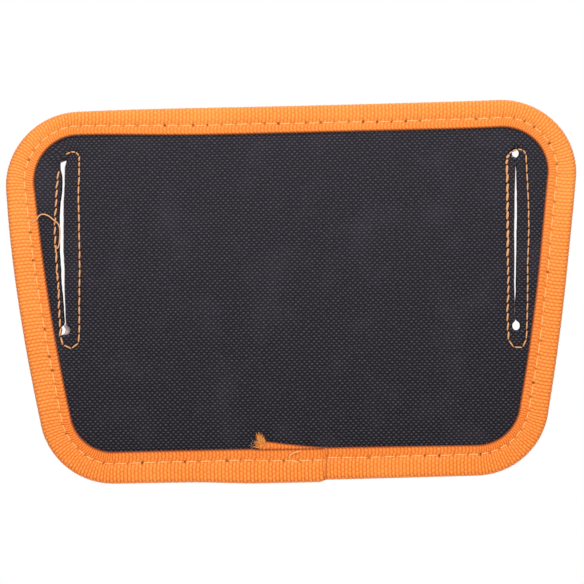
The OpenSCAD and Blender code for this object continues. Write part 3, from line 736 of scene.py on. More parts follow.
def panel_sheet(y, facing, spacing, open_share, open_shift, relief, inset):
    """A layer of the panel with both belt slots cut in it. facing is -1 for rear, 1 for front."""
    columns, rows = round(SHEET_W / spacing), round(SHEET_H / spacing)
    step_x, step_z = SHEET_W / columns, SHEET_H / rows
    left = -SHEET_W / 2

    def place(i, j):
        x, z = left + i * step_x, -PANEL_DROP + j * step_z
        return Vector((x, y, z))

    bm = grid(columns, rows, place, lambda i, j: (i, j))
    gone = [v for v in bm.verts if not inside_edge(v.co.x, v.co.z, inset)]
    bmesh.ops.delete(bm, geom=gone, context="VERTS")
    slots = ((LEFT_CUT, LEFT_HOLES, LEFT_SEAM), (RIGHT_CUT, RIGHT_HOLES, RIGHT_SEAM))
    for cut, holes, _ in slots:
        centre = sum(c[0] for c in cut) / len(cut)
        column = left + round((centre - left) / step_x) * step_x
        top, bottom = cut[0][1], cut[-1][1]
        shift = math.copysign(open_shift, centre)
        split = [e for e in bm.edges if all(
            abs(v.co.x - column) < 0.01 and bottom - step_z * 0.6 < v.co.z < top + step_z * 0.6
            for v in e.verts)]
        bmesh.ops.split_edges(bm, edges=split)
        for v in bm.verts:
            x, z = v.co.x, v.co.z
            away = x - column
            if abs(away) > PULL_ACROSS or not bottom - PULL_BEYOND < z < top + PULL_BEYOND:
                continue
            held = cut_at(cut, min(max(z, bottom), top))
            beyond = max(z - top, bottom - z, 0)
            fade = ease(1 - abs(away) / PULL_ACROSS) * ease(1 - beyond / PULL_BEYOND)
            move = (held[0] - column) * fade
            if bottom <= z <= top:
                side = math.copysign(1, away) if abs(away) > 0.01 else math.copysign(
                    1, sum(f.calc_center_median().x for f in v.link_faces) / len(v.link_faces) - column)
                frayed = 0.12 * noise.noise(Vector((z * 1.7, side * 4, y)))
                half = max(0.0, held[1] / 2 * open_share + frayed * min(1.0, held[1]))
                move += side * half * math.exp(-abs(away) / 2.6) + shift * math.exp(-abs(away) / 2.6)
            v.co.x += move
        for hx, hz, r, strayed in holes:
            middle = Vector((hx + (strayed if open_shift else 0.0), hz))
            slit_edge = {v for v in bm.verts if v.is_boundary}
            near = [(v, (Vector((v.co.x, v.co.z)) - middle).length) for v in bm.verts]
            bmesh.ops.delete(bm, geom=[v for v, d in near if d < r * 0.86], context="VERTS")
            for v in bm.verts:
                away = Vector((v.co.x, v.co.z)) - middle
                on_rim = v.is_boundary and v not in slit_edge or away.length < r
                if away.length < r + step_x * 1.05 and on_rim:
                    away = away.normalized() * (r + 0.06 * noise.noise(Vector((away.x, away.y, y + 2))))
                    v.co.x, v.co.z = middle.x + away.x, middle.y + away.y
    loose = [v for v in bm.verts if not v.link_faces]
    bmesh.ops.delete(bm, geom=loose, context="VERTS")
    for v in bm.verts:
        x, z = v.co.x, v.co.z
        raise_by = 0.35 * noise.noise(Vector((x * 0.035, z * 0.035, 1.0))) * relief
        for cut, _, seam in slots:
            if abs(x - cut[5][0]) < 12 and abs(z) < 48:
                d = seam_distance(seam, x, z)
                puff, groove = 0.26 * math.exp(-((d - 2.2) / 1.5) ** 2), 0.42 * math.exp(-(d / 0.7) ** 2)
                raise_by += relief * (puff - groove)
        v.co.y += facing * raise_by
    if facing > 0:
        bmesh.ops.reverse_faces(bm, faces=bm.faces)
    return bm, slots


def weave_relief(bm, facing, height):
    """Raises every second crossing of the weave and lowers the others."""
    layer = bm.loops.layers.uv.active
    done = set()
    for face in bm.faces:
        for loop in face.loops:
            if loop.vert in done:
                continue
            done.add(loop.vert)
            u, v = loop[layer].uv
            up = 1 if round(u + v) % 2 == 0 else -1
            loop.vert.co.y += facing * height * up


def panel_layers():
    """The rear cloth, the foam and the front cloth, each cut through at the belt slots."""
    rear, slots = panel_sheet(0.0, -1, YARN, 1.3, 0.0, 1.0, 5.5)
    weave_relief(rear, -1, 0.085)
    needles = [Vector((p.x, 0.0, p.y)) for *_, seam in slots for p in seam_needles(seam)]
    near = Neighbours(needles, 3.0)
    # Painted shade at the needle holes of the slot seams.
    mark(rear, lambda co: 0.8 * max(0.0, 1 - near.distance(co) / 0.8))
    cloth = make_piece("rear_canvas", rear, canvas, stands_for=("rear_cloth",), wall=0.65)
    front, _ = panel_sheet(PANEL_T, 1, 1.2, 1.3, 0.0, 1.0, 5.5)
    cloth = make_piece("front_canvas", front, canvas, stands_for=("front_cloth",),
                       wall=0.65)
    foam, _ = panel_sheet(CLOTH_T, -1, 1.1, 1.15, 0.22, 0.0, 3.0)
    pad = make_piece("foam_pad", foam, core_foam, stands_for=("foam_core",), wall=1.95)


def seam_needles(seam, pitch=SLOT_PITCH):
    """Needle holes along a slot's seam, in x and z."""
    line = Path(rounded([(x, z) for x, z in seam], 4))
    high = max(z for _, z in seam) - 4
    holes, s = [], 0.0
    while s < line.length - 1.2:
        holes.append(line.at(s)[0])
        s += pitch if holes[-1].y < high else 0.6 * pitch
    return holes + [holes[0]]


def slot_stitching(name, seam, doubled, node):
    """The seam sewn round a belt slot, on both faces, with its bar sewn over twice in places."""
    bm = bmesh.new()
    cut = LEFT_CUT if seam is LEFT_SEAM else RIGHT_CUT
    for face, y in ((-1, -0.12), (1, PANEL_T + 0.12)):
        holes = seam_needles(seam)
        for k, (a, b) in enumerate(zip(holes, holes[1:])):
            way = (b - a).normalized()
            middle = (a + b) / 2
            held = cut_at(cut, middle.y)
            if held and abs(middle.x - held[0]) < held[1] / 2 + 0.35:
                continue
            fat = 0.0
            if way.y < -0.9:
                fat = 0.05 if seam is LEFT_SEAM else 0.12 if middle.x < 83 and middle.y > -8 else 0.0
            left_run = way.y > 0.9 if seam is LEFT_SEAM else way.y < -0.9
            slanted = 0.24 if left_run else 0.05
            side = Vector((-way.y, way.x)) * (slanted + 0.06 * math.sin(k * 2.4))
            p, q = a + way * 0.12 + side, b - way * 0.12 - side
            add_stitch(bm, Vector((p.x, y, p.y)), Vector((q.x, y, q.y)), Vector((0, face, 0)),
                       0.27 + fat + 0.4 * slanted, 0.22)
        for k, sway in doubled:
            a, b = holes[k], holes[k + 1]
            way = (b - a).normalized()
            side = Vector((-way.y, way.x)) * sway
            p, q = a + way * 0.9 + side, b + way * 0.7 - side
            add_stitch(bm, Vector((p.x, y + face * 0.2, p.y)), Vector((q.x, y + face * 0.2, q.y)),
                       Vector((0, face, 0)), 0.29, 0.3)
    make_stitching(name, bm, peach_thread, node)


def thread_tube(bm, points, radius, sides=6, taper=0.0):
    """A run of thread through points, closed at both ends, thinning by the share taper towards its end."""
    line = rounded(points, 5)
    path = Path(line)
    n = len(line) - 1
    rings = []
    for k, p in enumerate(line):
        way = path.ways[k]
        side = way.cross(Vector((0.1, 1, 0.05))).normalized()
        up = side.cross(way)
        r = radius * (1 - taper * k / n)
        made = bmesh.ops.create_circle(bm, segments=sides, radius=r)["verts"]
        for m, v in enumerate(made):
            a = 2 * math.pi * m / sides
            v.co = p + side * math.cos(a) * r + up * math.sin(a) * r
        rings.append([e for e in {e for v in made for e in v.link_edges}])
    for a, b in zip(rings, rings[1:]):
        bmesh.ops.bridge_loops(bm, edges=a + b)
    for rim in (rings[0], rings[-1]):
        bmesh.ops.contextual_create(bm, geom=rim)


def loose_ends():
    """The loose thread by the left slot, the slack stitch on the lap, and the tape's frayed start."""
    bm = bmesh.new()
    tail = [(-94.6, 9.0), (-93.1, 10.4), (-91.9, 11.8), (-90.4, 12.2), (-88.6, 11.5), (-87.0, 10.2),
            (-85.6, 9.0), (-84.9, 7.9), (-84.6, 6.3), (-84.7, 3.6), (-85.0, 1.0), (-85.6, -0.3),
            (-86.2, -0.3), (-86.7, 0.7)]
    heights = [-0.9, -1.0, -0.8, -0.7, -0.7, -0.7, -0.6, -0.6, -0.6, -0.6, -0.5, -0.5, -0.4, -0.1]
    thread_tube(bm, [Vector((x, y, z)) for (x, z), y in zip(tail, heights)], 0.27)
    make_piece("loose_thread", bm, peach_thread, closed=True)
    bm = bmesh.new()
    loop = ((2.0, -1.2, -76.7), (1.2, -1.9, -77.0), (-0.2, -2.1, -77.3), (-1.5, -2.0, -78.0),
            (-2.2, -1.9, -78.9), (-2.1, -1.6, -79.8), (-1.2, -1.3, -80.4), (0.4, -1.3, -80.8),
            (1.5, -1.0, -80.9))
    thread_tube(bm, [Vector(p) for p in loop], 0.25)
    make_piece("slack_stitch_loop", bm, orange_thread, closed=True)
    bm = bmesh.new()
    for k in range(90):
        share = random.random()
        x, z = TAPE_START_X + 0.1 + 2.6 * share, -74.6 + 0.8 * random.random() + 1.1 * (1 - share)
        reach = 1.6 + 2.2 * random.random() * (1 - 0.5 * share)
        lean = random.uniform(-1.1, 0.5)
        y = -0.6 - 0.6 * random.random()
        thread_tube(bm, [
            Vector((x + 0.7, -0.5, z - 1.4)), Vector((x + 0.2, y, z)),
            Vector((x + lean * 0.3, y - 0.3, z + reach * 0.5)),
            Vector((x + lean, y - 0.2, z + reach))], 0.12, 5, 0.6)
    for k in range(30):
        z = -75.6 + 2.4 * random.random()
        reach, lean, y = 0.6 + 1.5 * random.random(), random.uniform(-0.2, 1.0), -0.5 - 0.4 * random.random()
        x = TAPE_START_X + 0.2
        thread_tube(bm, [
            Vector((x + 1.4, -0.5, z - 0.2)), Vector((x + 0.4, y, z)),
            Vector((x - reach * 0.5, y - 0.2, z + lean * 0.5)),
            Vector((x - reach, y, z + lean))], 0.10, 5, 0.6)
    make_piece("frayed_tape_end", bm, frayed_yarn, closed=True)
    bm = bmesh.new()
    for k in range(9):
        x, z = TAPE_START_X - 4.2 + 3.2 * random.random(), -75.0 + 1.8 * random.random()
        turn = random.uniform(-1.2, 1.2)
        thread_tube(bm, [
            Vector((x, -0.6, z)), Vector((x + 0.7 * math.cos(turn), -0.9, z + 0.7 * math.sin(turn))),
            Vector((x + 1.7 * math.cos(turn * 1.6), -0.8, z + 1.7 * math.sin(turn * 1.6)))], 0.06, 5, 0.4)
    make_piece("stray_fibres", bm, pale_fibre, closed=True)


# ---- pocket ---------------------------------------------------------------------

WALL_N = Vector((0, math.cos(LEAN), -math.sin(LEAN)))
WALL_UP = Vector((0, math.sin(LEAN), math.cos(LEAN)))


def on_wall(x, v, w):
    """The point x across, v up and w out of the pocket's front wall."""
    return Vector((x, WALL_Y, -POCKET_DROP)) + WALL_UP * v + WALL_N * w


def half_w(v, g):
    """Half width of the pocket at height v, grown outwards by g; the corners are round."""
    straight = mix(POCKET_BOTTOM, POCKET_MOUTH, max(v, 0) / WALL_H) + g
    r, up = POCKET_R + g, v + g
    return straight if up >= r else straight - r + math.sqrt(max(0.0, r * r - (r - up) ** 2))


def free_w(v):
    return half_w(max(v, 0), 0) - 1


def crown(x, v):
    s = x / free_w(v)
    return 0.0 if abs(s) >= 1 else CROWN_H * (1 - s * s) * ease(v / 45)


def cell_swell(x, v, x0, x1, most):
    if x <= x0 or x >= x1:
        return 0.0
    s = (2 * x - x0 - x1) / (x1 - x0)
    return most * (1 - abs(s) ** 2.6) * ease(v / ACCESSORY_H / 1.15) ** 0.6


def swell(x, v):
    return (cell_swell(x, v, -free_w(v), DIVIDER_X - 1.5, WIDE_SWELL)
            + cell_swell(x, v, DIVIDER_X + 1.5, free_w(v), NARROW_SWELL))


def accessory_w(x, v):
    return CLOTH_T + GAP + crown(x, v) + swell(x, v)


def u_points(g, top, step=2.5):
    """The pocket's U-shaped line from mouth to mouth, grown outwards by g, as x and v."""
    r = POCKET_R + g
    low = r - g
    side = [(half_w(v, g), v) for v in (mix(top, low, k / 32) for k in range(33))]
    bend = [(half_w(r * (1 - math.sin(a)) - g, g), r * (1 - math.sin(a)) - g)
            for a in (math.pi / 2 * k / 10 for k in range(1, 11))]
    right = side + bend
    reach = right[-1][0]
    across = [(mix(reach, -reach, k / 34), -g) for k in range(1, 34)]
    return right + across + [(-x, v) for x, v in reversed(right)]


def wrinkle(x, v, size, depth):
    """Soft creases of hand-sewn cloth, about size across."""
    return depth * (noise.noise(Vector((x / size, v / size, 2.0))) + 0.5 * noise.noise(
        Vector((x / size * 2.1, v / size * 2.1, 9.0))))


def wall_cloth(name, top, bottom, out, depth_at, columns_at, rows, node):
    """A cloth wall of the pocket: columns_at(v) gives its columns, depth_at(x, v) how far it stands off."""
    columns = len(columns_at(0)) - 1

    def place(i, j):
        v = mix(bottom, top, j / rows)
        x = columns_at(v)[i]
        return on_wall(x, v, depth_at(x, v))

    def count(i, j):
        v = mix(bottom, top, j / rows)
        return columns_at(40)[i] / YARN, v / YARN

    bm = grid(columns, rows, place, count)
    bmesh.ops.reverse_faces(bm, faces=bm.faces)
    mark(bm, lambda co: 0.0)
    piece = make_piece(name, bm, canvas, stands_for=(node,), wall=0.7)


def wall_columns(v, g):
    edge, out = free_w(v), half_w(v, g)
    return [-out] + [mix(-edge, edge, k / 72) for k in range(73)] + [out]


def accessory_columns(v, g):
    """Columns that follow the two cells, so that the fold at the divider stays sharp."""
    edge, out = free_w(v), half_w(v, g)
    left = [mix(-edge, DIVIDER_X - 1.5, (1 - math.cos(math.pi * k / 40)) / 2) for k in range(41)]
    right = [mix(DIVIDER_X + 1.5, edge, (1 - math.cos(math.pi * k / 30)) / 2) for k in range(31)]
    return [-out] + left + [DIVIDER_X] + right + [out]


def slack(x, v, top):
    """Where a wall hangs free, away from its seams: 1 in the middle, 0 at the sides and the bottom."""
    return ease((free_w(v) - abs(x)) / 16) * ease(v / 20) * ease((top - v) / 9)


def pocket_walls():
    wall_cloth(
        "tool_pocket_front", WALL_H, -FIN_W, FIN_W,
        lambda x, v: (CLOTH_T + crown(x, v) + slack(x, v, WALL_H) * wrinkle(x, v, 17, 0.9)
                      - 0.5 * slack(x, v, WALL_H)),
        lambda v: wall_columns(v, FIN_W), 60, "tool_pocket_wall")
    wall_cloth(
        "accessory_pocket_front", ACCESSORY_H, 0.2 - FIN_W, FIN_W - 0.2,
        lambda x, v: accessory_w(x, v) + CLOTH_T + accessory_slack(x, v),
        lambda v: accessory_columns(v, FIN_W - 0.2), 44, "accessory_pocket")


def accessory_slack(x, v):
    """The sag and creases of the accessory pocket's two cells."""
    share = swell(x, v) / WIDE_SWELL
    fold = 0.6 * math.exp(-((v - 13 - 0.05 * x) / 5) ** 2) - 0.5 * math.exp(-((v - 25 + 0.08 * x) / 6) ** 2)
    return ease(share * 2) * ease((ACCESSORY_H - v) / 8) * (wrinkle(x, v, 14, 0.9) + fold - 0.3)


def gusset_strip():
    """The side and bottom of the tool pocket: a strip with a flange on the panel and one under the wall."""
    top = WALL_H - 0.4
    lines = {g: u_points(g, top) for g in (-7.0, 0.0, FIN_W - 0.5)}
    columns = len(lines[0.0]) - 1
    y0 = PANEL_T + GAP + CLOTH_T
    section = ([("rear", t) for t in (0.0, 0.35, 0.7, 0.93)]
               + [("side", t) for t in (0.02, 0.07, 0.16, 0.28, 0.40, 0.5, 0.60, 0.72, 0.84, 0.93, 0.98)]
               + [("fin", t) for t in (0.08, 0.3, 0.6, 1.0)])

    def place(i, j):
        part, t = section[j]
        (x0, v0), (x1, v1), (x2, v2) = lines[-7.0][i], lines[0.0][i], lines[FIN_W - 0.5][i]
        foot = Vector((x1, y0, on_wall(0, v1, 0).z))
        head = on_wall(x1, v1, -GAP)
        if part == "rear":
            tucked = Vector((x0, y0, on_wall(0, v0, 0).z))
            return tucked.lerp(foot, t)
        if part == "fin":
            return head.lerp(on_wall(x2, v2, -GAP), t)
        inward = (Vector((x0, 0, v0)) - Vector((x1, 0, v1))).normalized()
        deep = math.sin(math.pi * t) ** 0.8 * (1.9 + 0.7 * noise.noise(Vector((i * 0.13, 0.0, t * 2))))
        deep += 0.35 * noise.noise(Vector((i * 0.42, t * 5, 4.0))) * math.sin(math.pi * t)
        return foot.lerp(head, t) + inward * deep

    run = Path([(x, 0, v) for x, v in lines[0.0]]).run
    bm = grid(columns, len(section) - 1, place, lambda i, j: (run[i] / YARN, j * 2.2))
    mark(bm, lambda co: 0.0)
    piece = make_piece("gusset_strip", bm, canvas, stands_for=("gusset",), wall=0.7)


def pocket_divider():
    """The web between panel and front wall, with a sewn flange at each end."""
    section = [("rear", t) for t in (0, 0.5, 0.9)] + [("web", k / 12) for k in range(13)] + [
        ("front", t) for t in (0.1, 0.5, 1)]
    y0, flange, rows = PANEL_T + GAP + CLOTH_T, 7.0, 34

    def place(i, j):
        v = mix(9.0, WALL_H - 16, i / rows)
        part, t = section[j]
        foot = Vector((DIVIDER_X, y0, on_wall(0, v, 0).z))
        head = on_wall(DIVIDER_X, v, crown(DIVIDER_X, v) - GAP - CLOTH_T)
        if part == "rear":
            return foot + Vector((flange * (t - 1), 0, 0))
        if part == "front":
            return on_wall(DIVIDER_X + flange * t, v, crown(DIVIDER_X + flange * t, v) - GAP)
        bow = math.sin(math.pi * t) * (1.2 * noise.noise(Vector((v / 22, t * 1.5, 6.0))) - 0.4)
        return foot.lerp(head, t) + Vector((bow, 0, 0))

    bm = grid(rows, len(section) - 1, place, lambda i, j: (i * 2.2, j * 2.2))
    mark(bm, lambda co: 0.0)
    piece = make_piece("pocket_divider", bm, canvas, stands_for=("tool_pocket_divider",),
                       wall=0.7)


def bound_edge(name, stations, base, core, legs, node):
    """Ribbed tape folded over a cloth edge. stations are lengths along it, and base(k, d) gives the middle
    of the bound layers at station k, d in from the edge, with the direction inwards and out of the face."""
    front_leg, back_leg = legs
    rows = fold_rows(core, front_leg, back_leg, 1.3, 9, 6, 6)
    per_rib = 3

    def place(k, j):
        d, h, nd, nh, shows = rows[j]
        middle, inward, out = base(k, d)
        height = shows * 0.16 * (abs(math.sin(math.pi * k / per_rib)) - 0.5)
        near = (d - front_leg + 3.0) / 0.7
        groove = 0.3 * math.exp(-near * near) if nh > 0.9 else 0.0
        return middle + inward * (nd * height) + out * (h + nh * (height - groove))

    bm = grid(stations, len(rows) - 1, place,
              lambda k, j: (k / per_rib, rows[j][0] + (20 if j > 18 else 0)), ring=True)
    mark(bm, lambda co: 0.0)
    make_piece(name, bm, tape_cloth, stands_for=node, ends=True, closed=True)


def pocket_bindings():
    """Tape round the standing seam of the front wall and over the mouths."""
    rib_step = RIB / 3
    edge = Path([Vector((x, v)) for x, v in u_points(FIN_W + TAPE_T, WALL_H)])
    stations = round(edge.length / rib_step)

    def seam_base(k, d):
        point, way = edge.at(edge.length * k / stations)
        inward = Vector((way.y, -way.x))
        spot = point + inward * d
        w = (SEAM_TOP + SEAM_BOTTOM) / 2
        return on_wall(spot.x, spot.y, w), WALL_UP * inward.y + Vector((inward.x, 0, 0)), WALL_N

    bound_edge("pocket_seam_tape", stations, seam_base, SEAM_TOP - SEAM_BOTTOM, (9.2, 9.2), ("seam_binding",))

    reach = half_w(WALL_H - 8, 0) - CLOTH_T - 0.2
    across = round(2 * reach / rib_step)

    def mouth_base(k, d):
        x, v = mix(-reach, reach, k / across), WALL_H + 0.9 - d
        return on_wall(x, v, crown(x, min(v, WALL_H)) + CLOTH_T / 2), -WALL_UP, WALL_N

    bound_edge("tool_pocket_mouth_tape", across, mouth_base, CLOTH_T + 0.3, (8.9, 8.9),
               ("tool_pocket_mouth_binding",))
    nodes = ("accessory_mouth_binding",)
    for name, x0, x1 in (("wide", -free_w(ACCESSORY_H) + 0.7, DIVIDER_X - 2.2),
                         ("narrow", DIVIDER_X + 2.2, free_w(ACCESSORY_H) - 0.7)):
        line = Path([Vector((x, accessory_w(x, ACCESSORY_H)))
                     for x in (mix(x0, x1, k / 60) for k in range(61))])
        count = round(line.length / rib_step)

        def cell_base(k, d, line=line, count=count):
            x = line.at(line.length * k / count)[0].x
            v = ACCESSORY_H + 0.9 - d
            w = accessory_w(x, min(v, ACCESSORY_H)) + CLOTH_T / 2
            tilt = (accessory_w(x + 0.2, ACCESSORY_H - 4) - accessory_w(x - 0.2, ACCESSORY_H - 4)) / 0.4
            out = (WALL_N - Vector((tilt * 0.6, 0, 0))).normalized()
            return on_wall(x, v, w), -WALL_UP, out

        bound_edge(f"accessory_mouth_tape_{name}", count, cell_base, CLOTH_T + 0.3, (8.9, 8.9), nodes)


def stitch_run(bm, points, out, pitch, thick=0.27):
    line = Path(points)
    steps = max(1, round(line.length / pitch))
    spots = [line.at(line.length * k / steps)[0] for k in range(steps + 1)]
    for a, b in zip(spots, spots[1:]):
        way = (b - a).normalized()
        add_stitch(bm, a + way * 0.4, b - way * 0.4, out, thick)


def pocket_stitching():
    """Every row of stitches on the pocket, in one piece for each kind of seam."""
    level = SEAM_TOP + TAPE_T
    bm = bmesh.new()
    stitch_run(bm, [on_wall(x, v, level) for x, v in u_points(3.2, WALL_H - 1)], WALL_N, EDGE_PITCH, 0.3)
    make_stitching("seam_stitching", bm, orange_thread, "seam_stitches")
    bm = bmesh.new()
    stitch_run(bm, [Vector((x, PANEL_T + CLOTH_T + 0.25, on_wall(0, v, 0).z))
                    for x, v in u_points(-4.5, WALL_H - 3)], Vector((0, 1, 0)), EDGE_PITCH)
    make_stitching("gusset_stitching", bm, peach_thread, "gusset_stitches")
    bm = bmesh.new()
    stitch_run(bm, [on_wall(DIVIDER_X, v, accessory_w(DIVIDER_X, v) + CLOTH_T + 0.2)
                    for v in (mix(1, ACCESSORY_H - 1, k / 20) for k in range(21))], WALL_N, SLOT_PITCH)
    make_stitching("divider_stitching", bm, peach_thread, "divider_stitches")
    bm = bmesh.new()
    for x in (-60, -36.5, -12.5, 12.5, 36.5, 60):
        for side in (-0.8, 0.8):
            stitch_run(bm, [on_wall(x + side, v, webbing_base(x, v) + WEBBING_T + 0.12)
                            for v in (LOOP_V - 9, LOOP_V, LOOP_V + 9)], WALL_N, 2.2, 0.24)
    make_stitching("loop_bar_stitching", bm, peach_thread, "loop_bar_stitches")
    bm = bmesh.new()
    for side in (-1, 1):
        for top in (WALL_H - 2, ACCESSORY_H - 2):
            x = side * (half_w(top, 0) + 6.2)
            for k in range(10):
                v, way = top - 5.5 + k * 0.6, 2.0 * (-1) ** k + 0.15 * math.sin(k * 2.1)
                add_stitch(bm, on_wall(x - way, v, level + 0.18), on_wall(x + way, v + 0.6, level + 0.18),
                           WALL_N, 0.21, 0.15)
    make_stitching("mouth_bartacks", bm, orange_thread, "bartacks")
    bm = bmesh.new()
    y, low, high, side = PANEL_T + GAP + WEBBING_T + 0.2, 29.6, 36.4, 8.0
    corners = [Vector((a, y, b)) for a, b in ((-side, low), (side, low), (side, high), (-side, high))]
    for a, b in ((0, 1), (1, 2), (2, 3), (3, 0), (0, 2), (1, 3)):
        stitch_run(bm, [corners[a], corners[b]], Vector((0, 1, 0)), 2.4, 0.24)
    make_stitching("strap_root_stitching", bm, peach_thread, "strap_root_stitches")


# ---- webbing, strap and snap ----------------------------------------------------


def webbing_base(x, v):
    rise = max(0.0 if abs(x - c) >= LOOP_SPAN / 2 else LOOP_H * math.sqrt(1 - (2 * (x - c) / LOOP_SPAN) ** 2)
               for c in LOOP_CENTRES)
    return crown(x, v) + CLOTH_T + GAP + rise


def webbing(name, line, across, width, stands_for, body="pouch", thick=WEBBING_T):
    """Flat webbing along a line: line holds its middle points, and across the direction of its width."""
    path = Path(line)
    steps = round(path.length / 0.8)
    half, edge = width / 2, thick / 2
    rim = [(-half + 0.5, -edge), (-half + 0.1, -edge * 0.6), (-half, 0), (-half + 0.1, edge * 0.6)]
    face = [(mix(-half + 0.5, half - 0.5, k / 24), edge) for k in range(25)]
    back = [(half - 0.1, edge * 0.6), (half, 0), (half - 0.1, -edge * 0.6)]
    under = [(mix(half - 0.5, -half + 0.5, k / 12), -edge) for k in range(12)]
    section = rim + face + back + under
    section.append(section[0])

    def place(i, j):
        point, way = path.at(path.length * i / steps)
        out = across.cross(way).normalized()
        a, h = section[j]
        if abs(h) > edge * 0.9:
            h += math.copysign(0.07, h) * math.sin(math.pi * (i + abs(a) * 1.1))
        return point + across * a + out * h

    bm = grid(steps, len(section) - 1, place,
              lambda i, j: (path.length * i / steps, section[j][0] + half), ring=True)
    bmesh.ops.holes_fill(bm, edges=[e for e in bm.edges if e.is_boundary], sides=0)
    bmesh.ops.recalc_face_normals(bm, faces=bm.faces)
    return make_piece(name, bm, webbing_cloth, body=body, stands_for=stands_for)


def tool_loops():
    spots = []
    last = -WEBBING_REACH
    for c in LOOP_CENTRES:
        start = c - LOOP_SPAN / 2
        for k in range(8):
            spots.append(mix(last, start - 0.3, k / 8))
        spots += [c - LOOP_SPAN / 2 * math.cos(math.pi * k / 20) for k in range(21)]
        last = c + LOOP_SPAN / 2 + 0.3
    spots += [mix(last, WEBBING_REACH, k / 8) for k in range(9)]
    line = []
    for x in spots:
        c = min(LOOP_CENTRES, key=lambda m: abs(x - m))
        s = 2 * (x - c) / LOOP_SPAN
        out = Vector((0, 1)) if abs(s) > 1 else Vector((s, 0.35 + math.sqrt(max(0, 1 - s * s)))).normalized()
        base = webbing_base(x, LOOP_V)
        line.append(on_wall(x + out.x * WEBBING_T / 2, LOOP_V, base + out.y * WEBBING_T / 2))
    webbing("tool_loop_webbing", line, WALL_UP * -1, WEBBING_W, ("loop_webbing",))


STUD_FOOT = on_wall(0, SNAP_V, webbing_base(0, SNAP_V) + WEBBING_T + GAP)
STRAP_W = webbing_base(0, SNAP_V) + WEBBING_T + 2 * GAP + 0.6 + 2.0 + GAP + WEBBING_T / 2


def snap_strap():
    """One length of webbing from its sewn root on the panel, over the mouth and down to the snap."""
    root_y = PANEL_T + GAP + WEBBING_T / 2
    way = [Vector((0, root_y, 38)), Vector((0, root_y, 34)), Vector((0, root_y, 30)), Vector((0, 4.7, 27.4))]
    way += [Vector((0, y, z)) for y, z in ((6.3, 25.2), (8.8, 23.9), (14, 23.4), (26, 23.5), (33.6, 23.3),
                                          (36.6, 22.3), (37.9, 20.2))]
    way += [on_wall(0, v, STRAP_W) for v in (WALL_H - 6, SNAP_V + 8, SNAP_V, SNAP_V - 5, SNAP_V - 9.5)]
    strap = webbing("snap_strap_webbing", rounded(way, 5), Vector((1, 0, 0)), WEBBING_W,
                    ("snap_strap", "strap_root"), body=None)
    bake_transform(strap)


def lathe(name, profile, body, node):
    """Turns a profile of radius and height round the snap's axis."""
    bm = bmesh.new()
    side = Vector((1, 0, 0))
    made = [bm.verts.new(STUD_FOOT + side * r + WALL_N * h) for r, h in profile]
    for a, b in zip(made, made[1:]):
        bm.edges.new((a, b))
    bmesh.ops.spin(bm, geom=bm.verts[:] + bm.edges[:], cent=STUD_FOOT, axis=WALL_N, angle=2 * math.pi,
                   steps=48, use_merge=True)
    bmesh.ops.remove_doubles(bm, verts=bm.verts, dist=0.002)
    make_piece(name, bm, snap_metal, body=body, stands_for=(node,), closed=True)


def snap_fastener():
    """Stud on the wall, and socket and cap on the strap."""
    base = 0.6 + 2.0 + WEBBING_T + 3 * GAP
    dome = [(6.25 * math.sin(a), base + 0.5 + 1.5 * math.cos(a) ** 1.4) for a in
            (math.pi / 2 * k / 12 for k in range(12))]
    lathe("snap_cap_shell", dome + [(6.25, base + 0.42), (6.2, base + 0.12), (5.9, base), (1.5, base),
                                    (1.5, base - WEBBING_T - 0.05), (0, base - WEBBING_T - 0.05)],
          "strap", "snap_cap")
    low = 0.6 + GAP
    lathe("snap_socket_ring", [(3.0, low + 0.3), (3.3, low), (4.8, low), (5.2, low + 0.4), (5.2, low + 1.6),
                               (4.9, low + 2.0), (3.0, low + 2.0), (3.0, low + 0.3)], "strap", "snap_socket")
    lathe("snap_stud_post", [(0, 1.5), (1.2, 1.5), (1.75, 1.32), (1.95, 1.1), (1.9, 0.85), (1.6, 0.62),
                             (3.9, 0.55), (4.25, 0.35), (4.3, 0), (0, 0)], "pouch", "snap_stud")


# ---- camera, light and floor ----------------------------------------------------


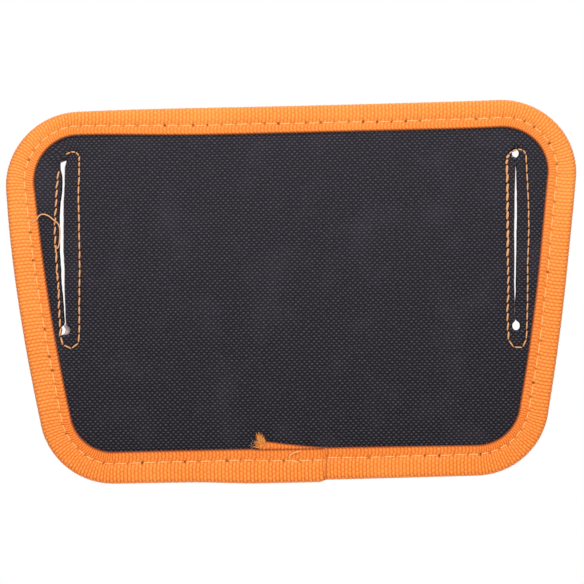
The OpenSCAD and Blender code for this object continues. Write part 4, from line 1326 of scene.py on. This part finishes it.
def studio():
    scene = bpy.context.scene
    scene.view_settings.view_transform = "Standard"
    lens, sensor, frame_w = 180.0, 36.0, 0.2146
    camera = bpy.data.objects.new("camera", bpy.data.cameras.new("camera"))
    camera.data.lens, camera.data.sensor_width = lens, sensor
    turn = Matrix.Rotation(math.radians(90), 4, "X") @ Matrix.Rotation(math.radians(-1.29), 4, "Z")
    place = Vector((0.000136, -frame_w * lens / sensor, -0.0184))
    camera.matrix_world = Matrix.Translation(place) @ turn
    scene.collection.objects.link(camera)
    scene.camera = camera
    world = bpy.data.worlds.new("white_studio")
    world.use_nodes = True
    world.node_tree.nodes["Background"].inputs["Color"].default_value = (1, 1, 1, 1)
    tree = world.node_tree
    seen = add_node(tree, "LightPath").outputs["Is Camera Ray"]
    level = remap(tree, seen, 0.0, 1.0, 0.62, 1.0)
    tree.links.new(level, tree.nodes["Background"].inputs["Strength"])
    scene.world = world
    for name, spot, power, size in (
            ("key_softbox", (-0.03, -0.5, 0.52), 4.9, 0.35), ("fill_softbox", (0.15, -1.6, 0.1), 6.0, 1.2),
            ("back_softbox", (0.5, 1.6, 0.9), 20.0, 1.2)):
        light = bpy.data.lights.new(name, "AREA")
        light.energy, light.size = power, size
        lamp = bpy.data.objects.new(name, light)
        aim = Vector((0, 0, -0.02)) - Vector(spot)
        turned = aim.to_track_quat("-Z", "Y").to_matrix().to_4x4()
        lamp.matrix_world = Matrix.Translation(Vector(spot)) @ turned
        scene.collection.objects.link(lamp)
    bm = bmesh.new()
    bmesh.ops.create_circle(bm, cap_ends=True, segments=96, radius=800.0)
    bmesh.ops.translate(bm, verts=bm.verts, vec=(0, 0, -300.0))
    bmesh.ops.scale(bm, verts=bm.verts, vec=(MM, MM, MM))
    mesh = bpy.data.meshes.new("studio_floor")
    bm.to_mesh(mesh)
    bm.free()
    mesh.materials.append(floor_paper)
    floor = bpy.data.objects.new("studio_floor", mesh)
    scene.collection.objects.link(floor)


studio()
panel_layers()
edge_tape()
edge_stitching()
slot_stitching("left_slot_seam", LEFT_SEAM, ((31, 0.3), (33, -0.35), (35, 0.3)), "left_slot_stitches")
slot_stitching("right_slot_seam", RIGHT_SEAM, ((2, 0.3), (4, -0.25), (6, 0.3), (9, -0.3)),
               "right_slot_stitches")
loose_ends()
pocket_walls()
gusset_strip()
pocket_divider()
pocket_bindings()
pocket_stitching()
tool_loops()
snap_strap()
snap_fastener()
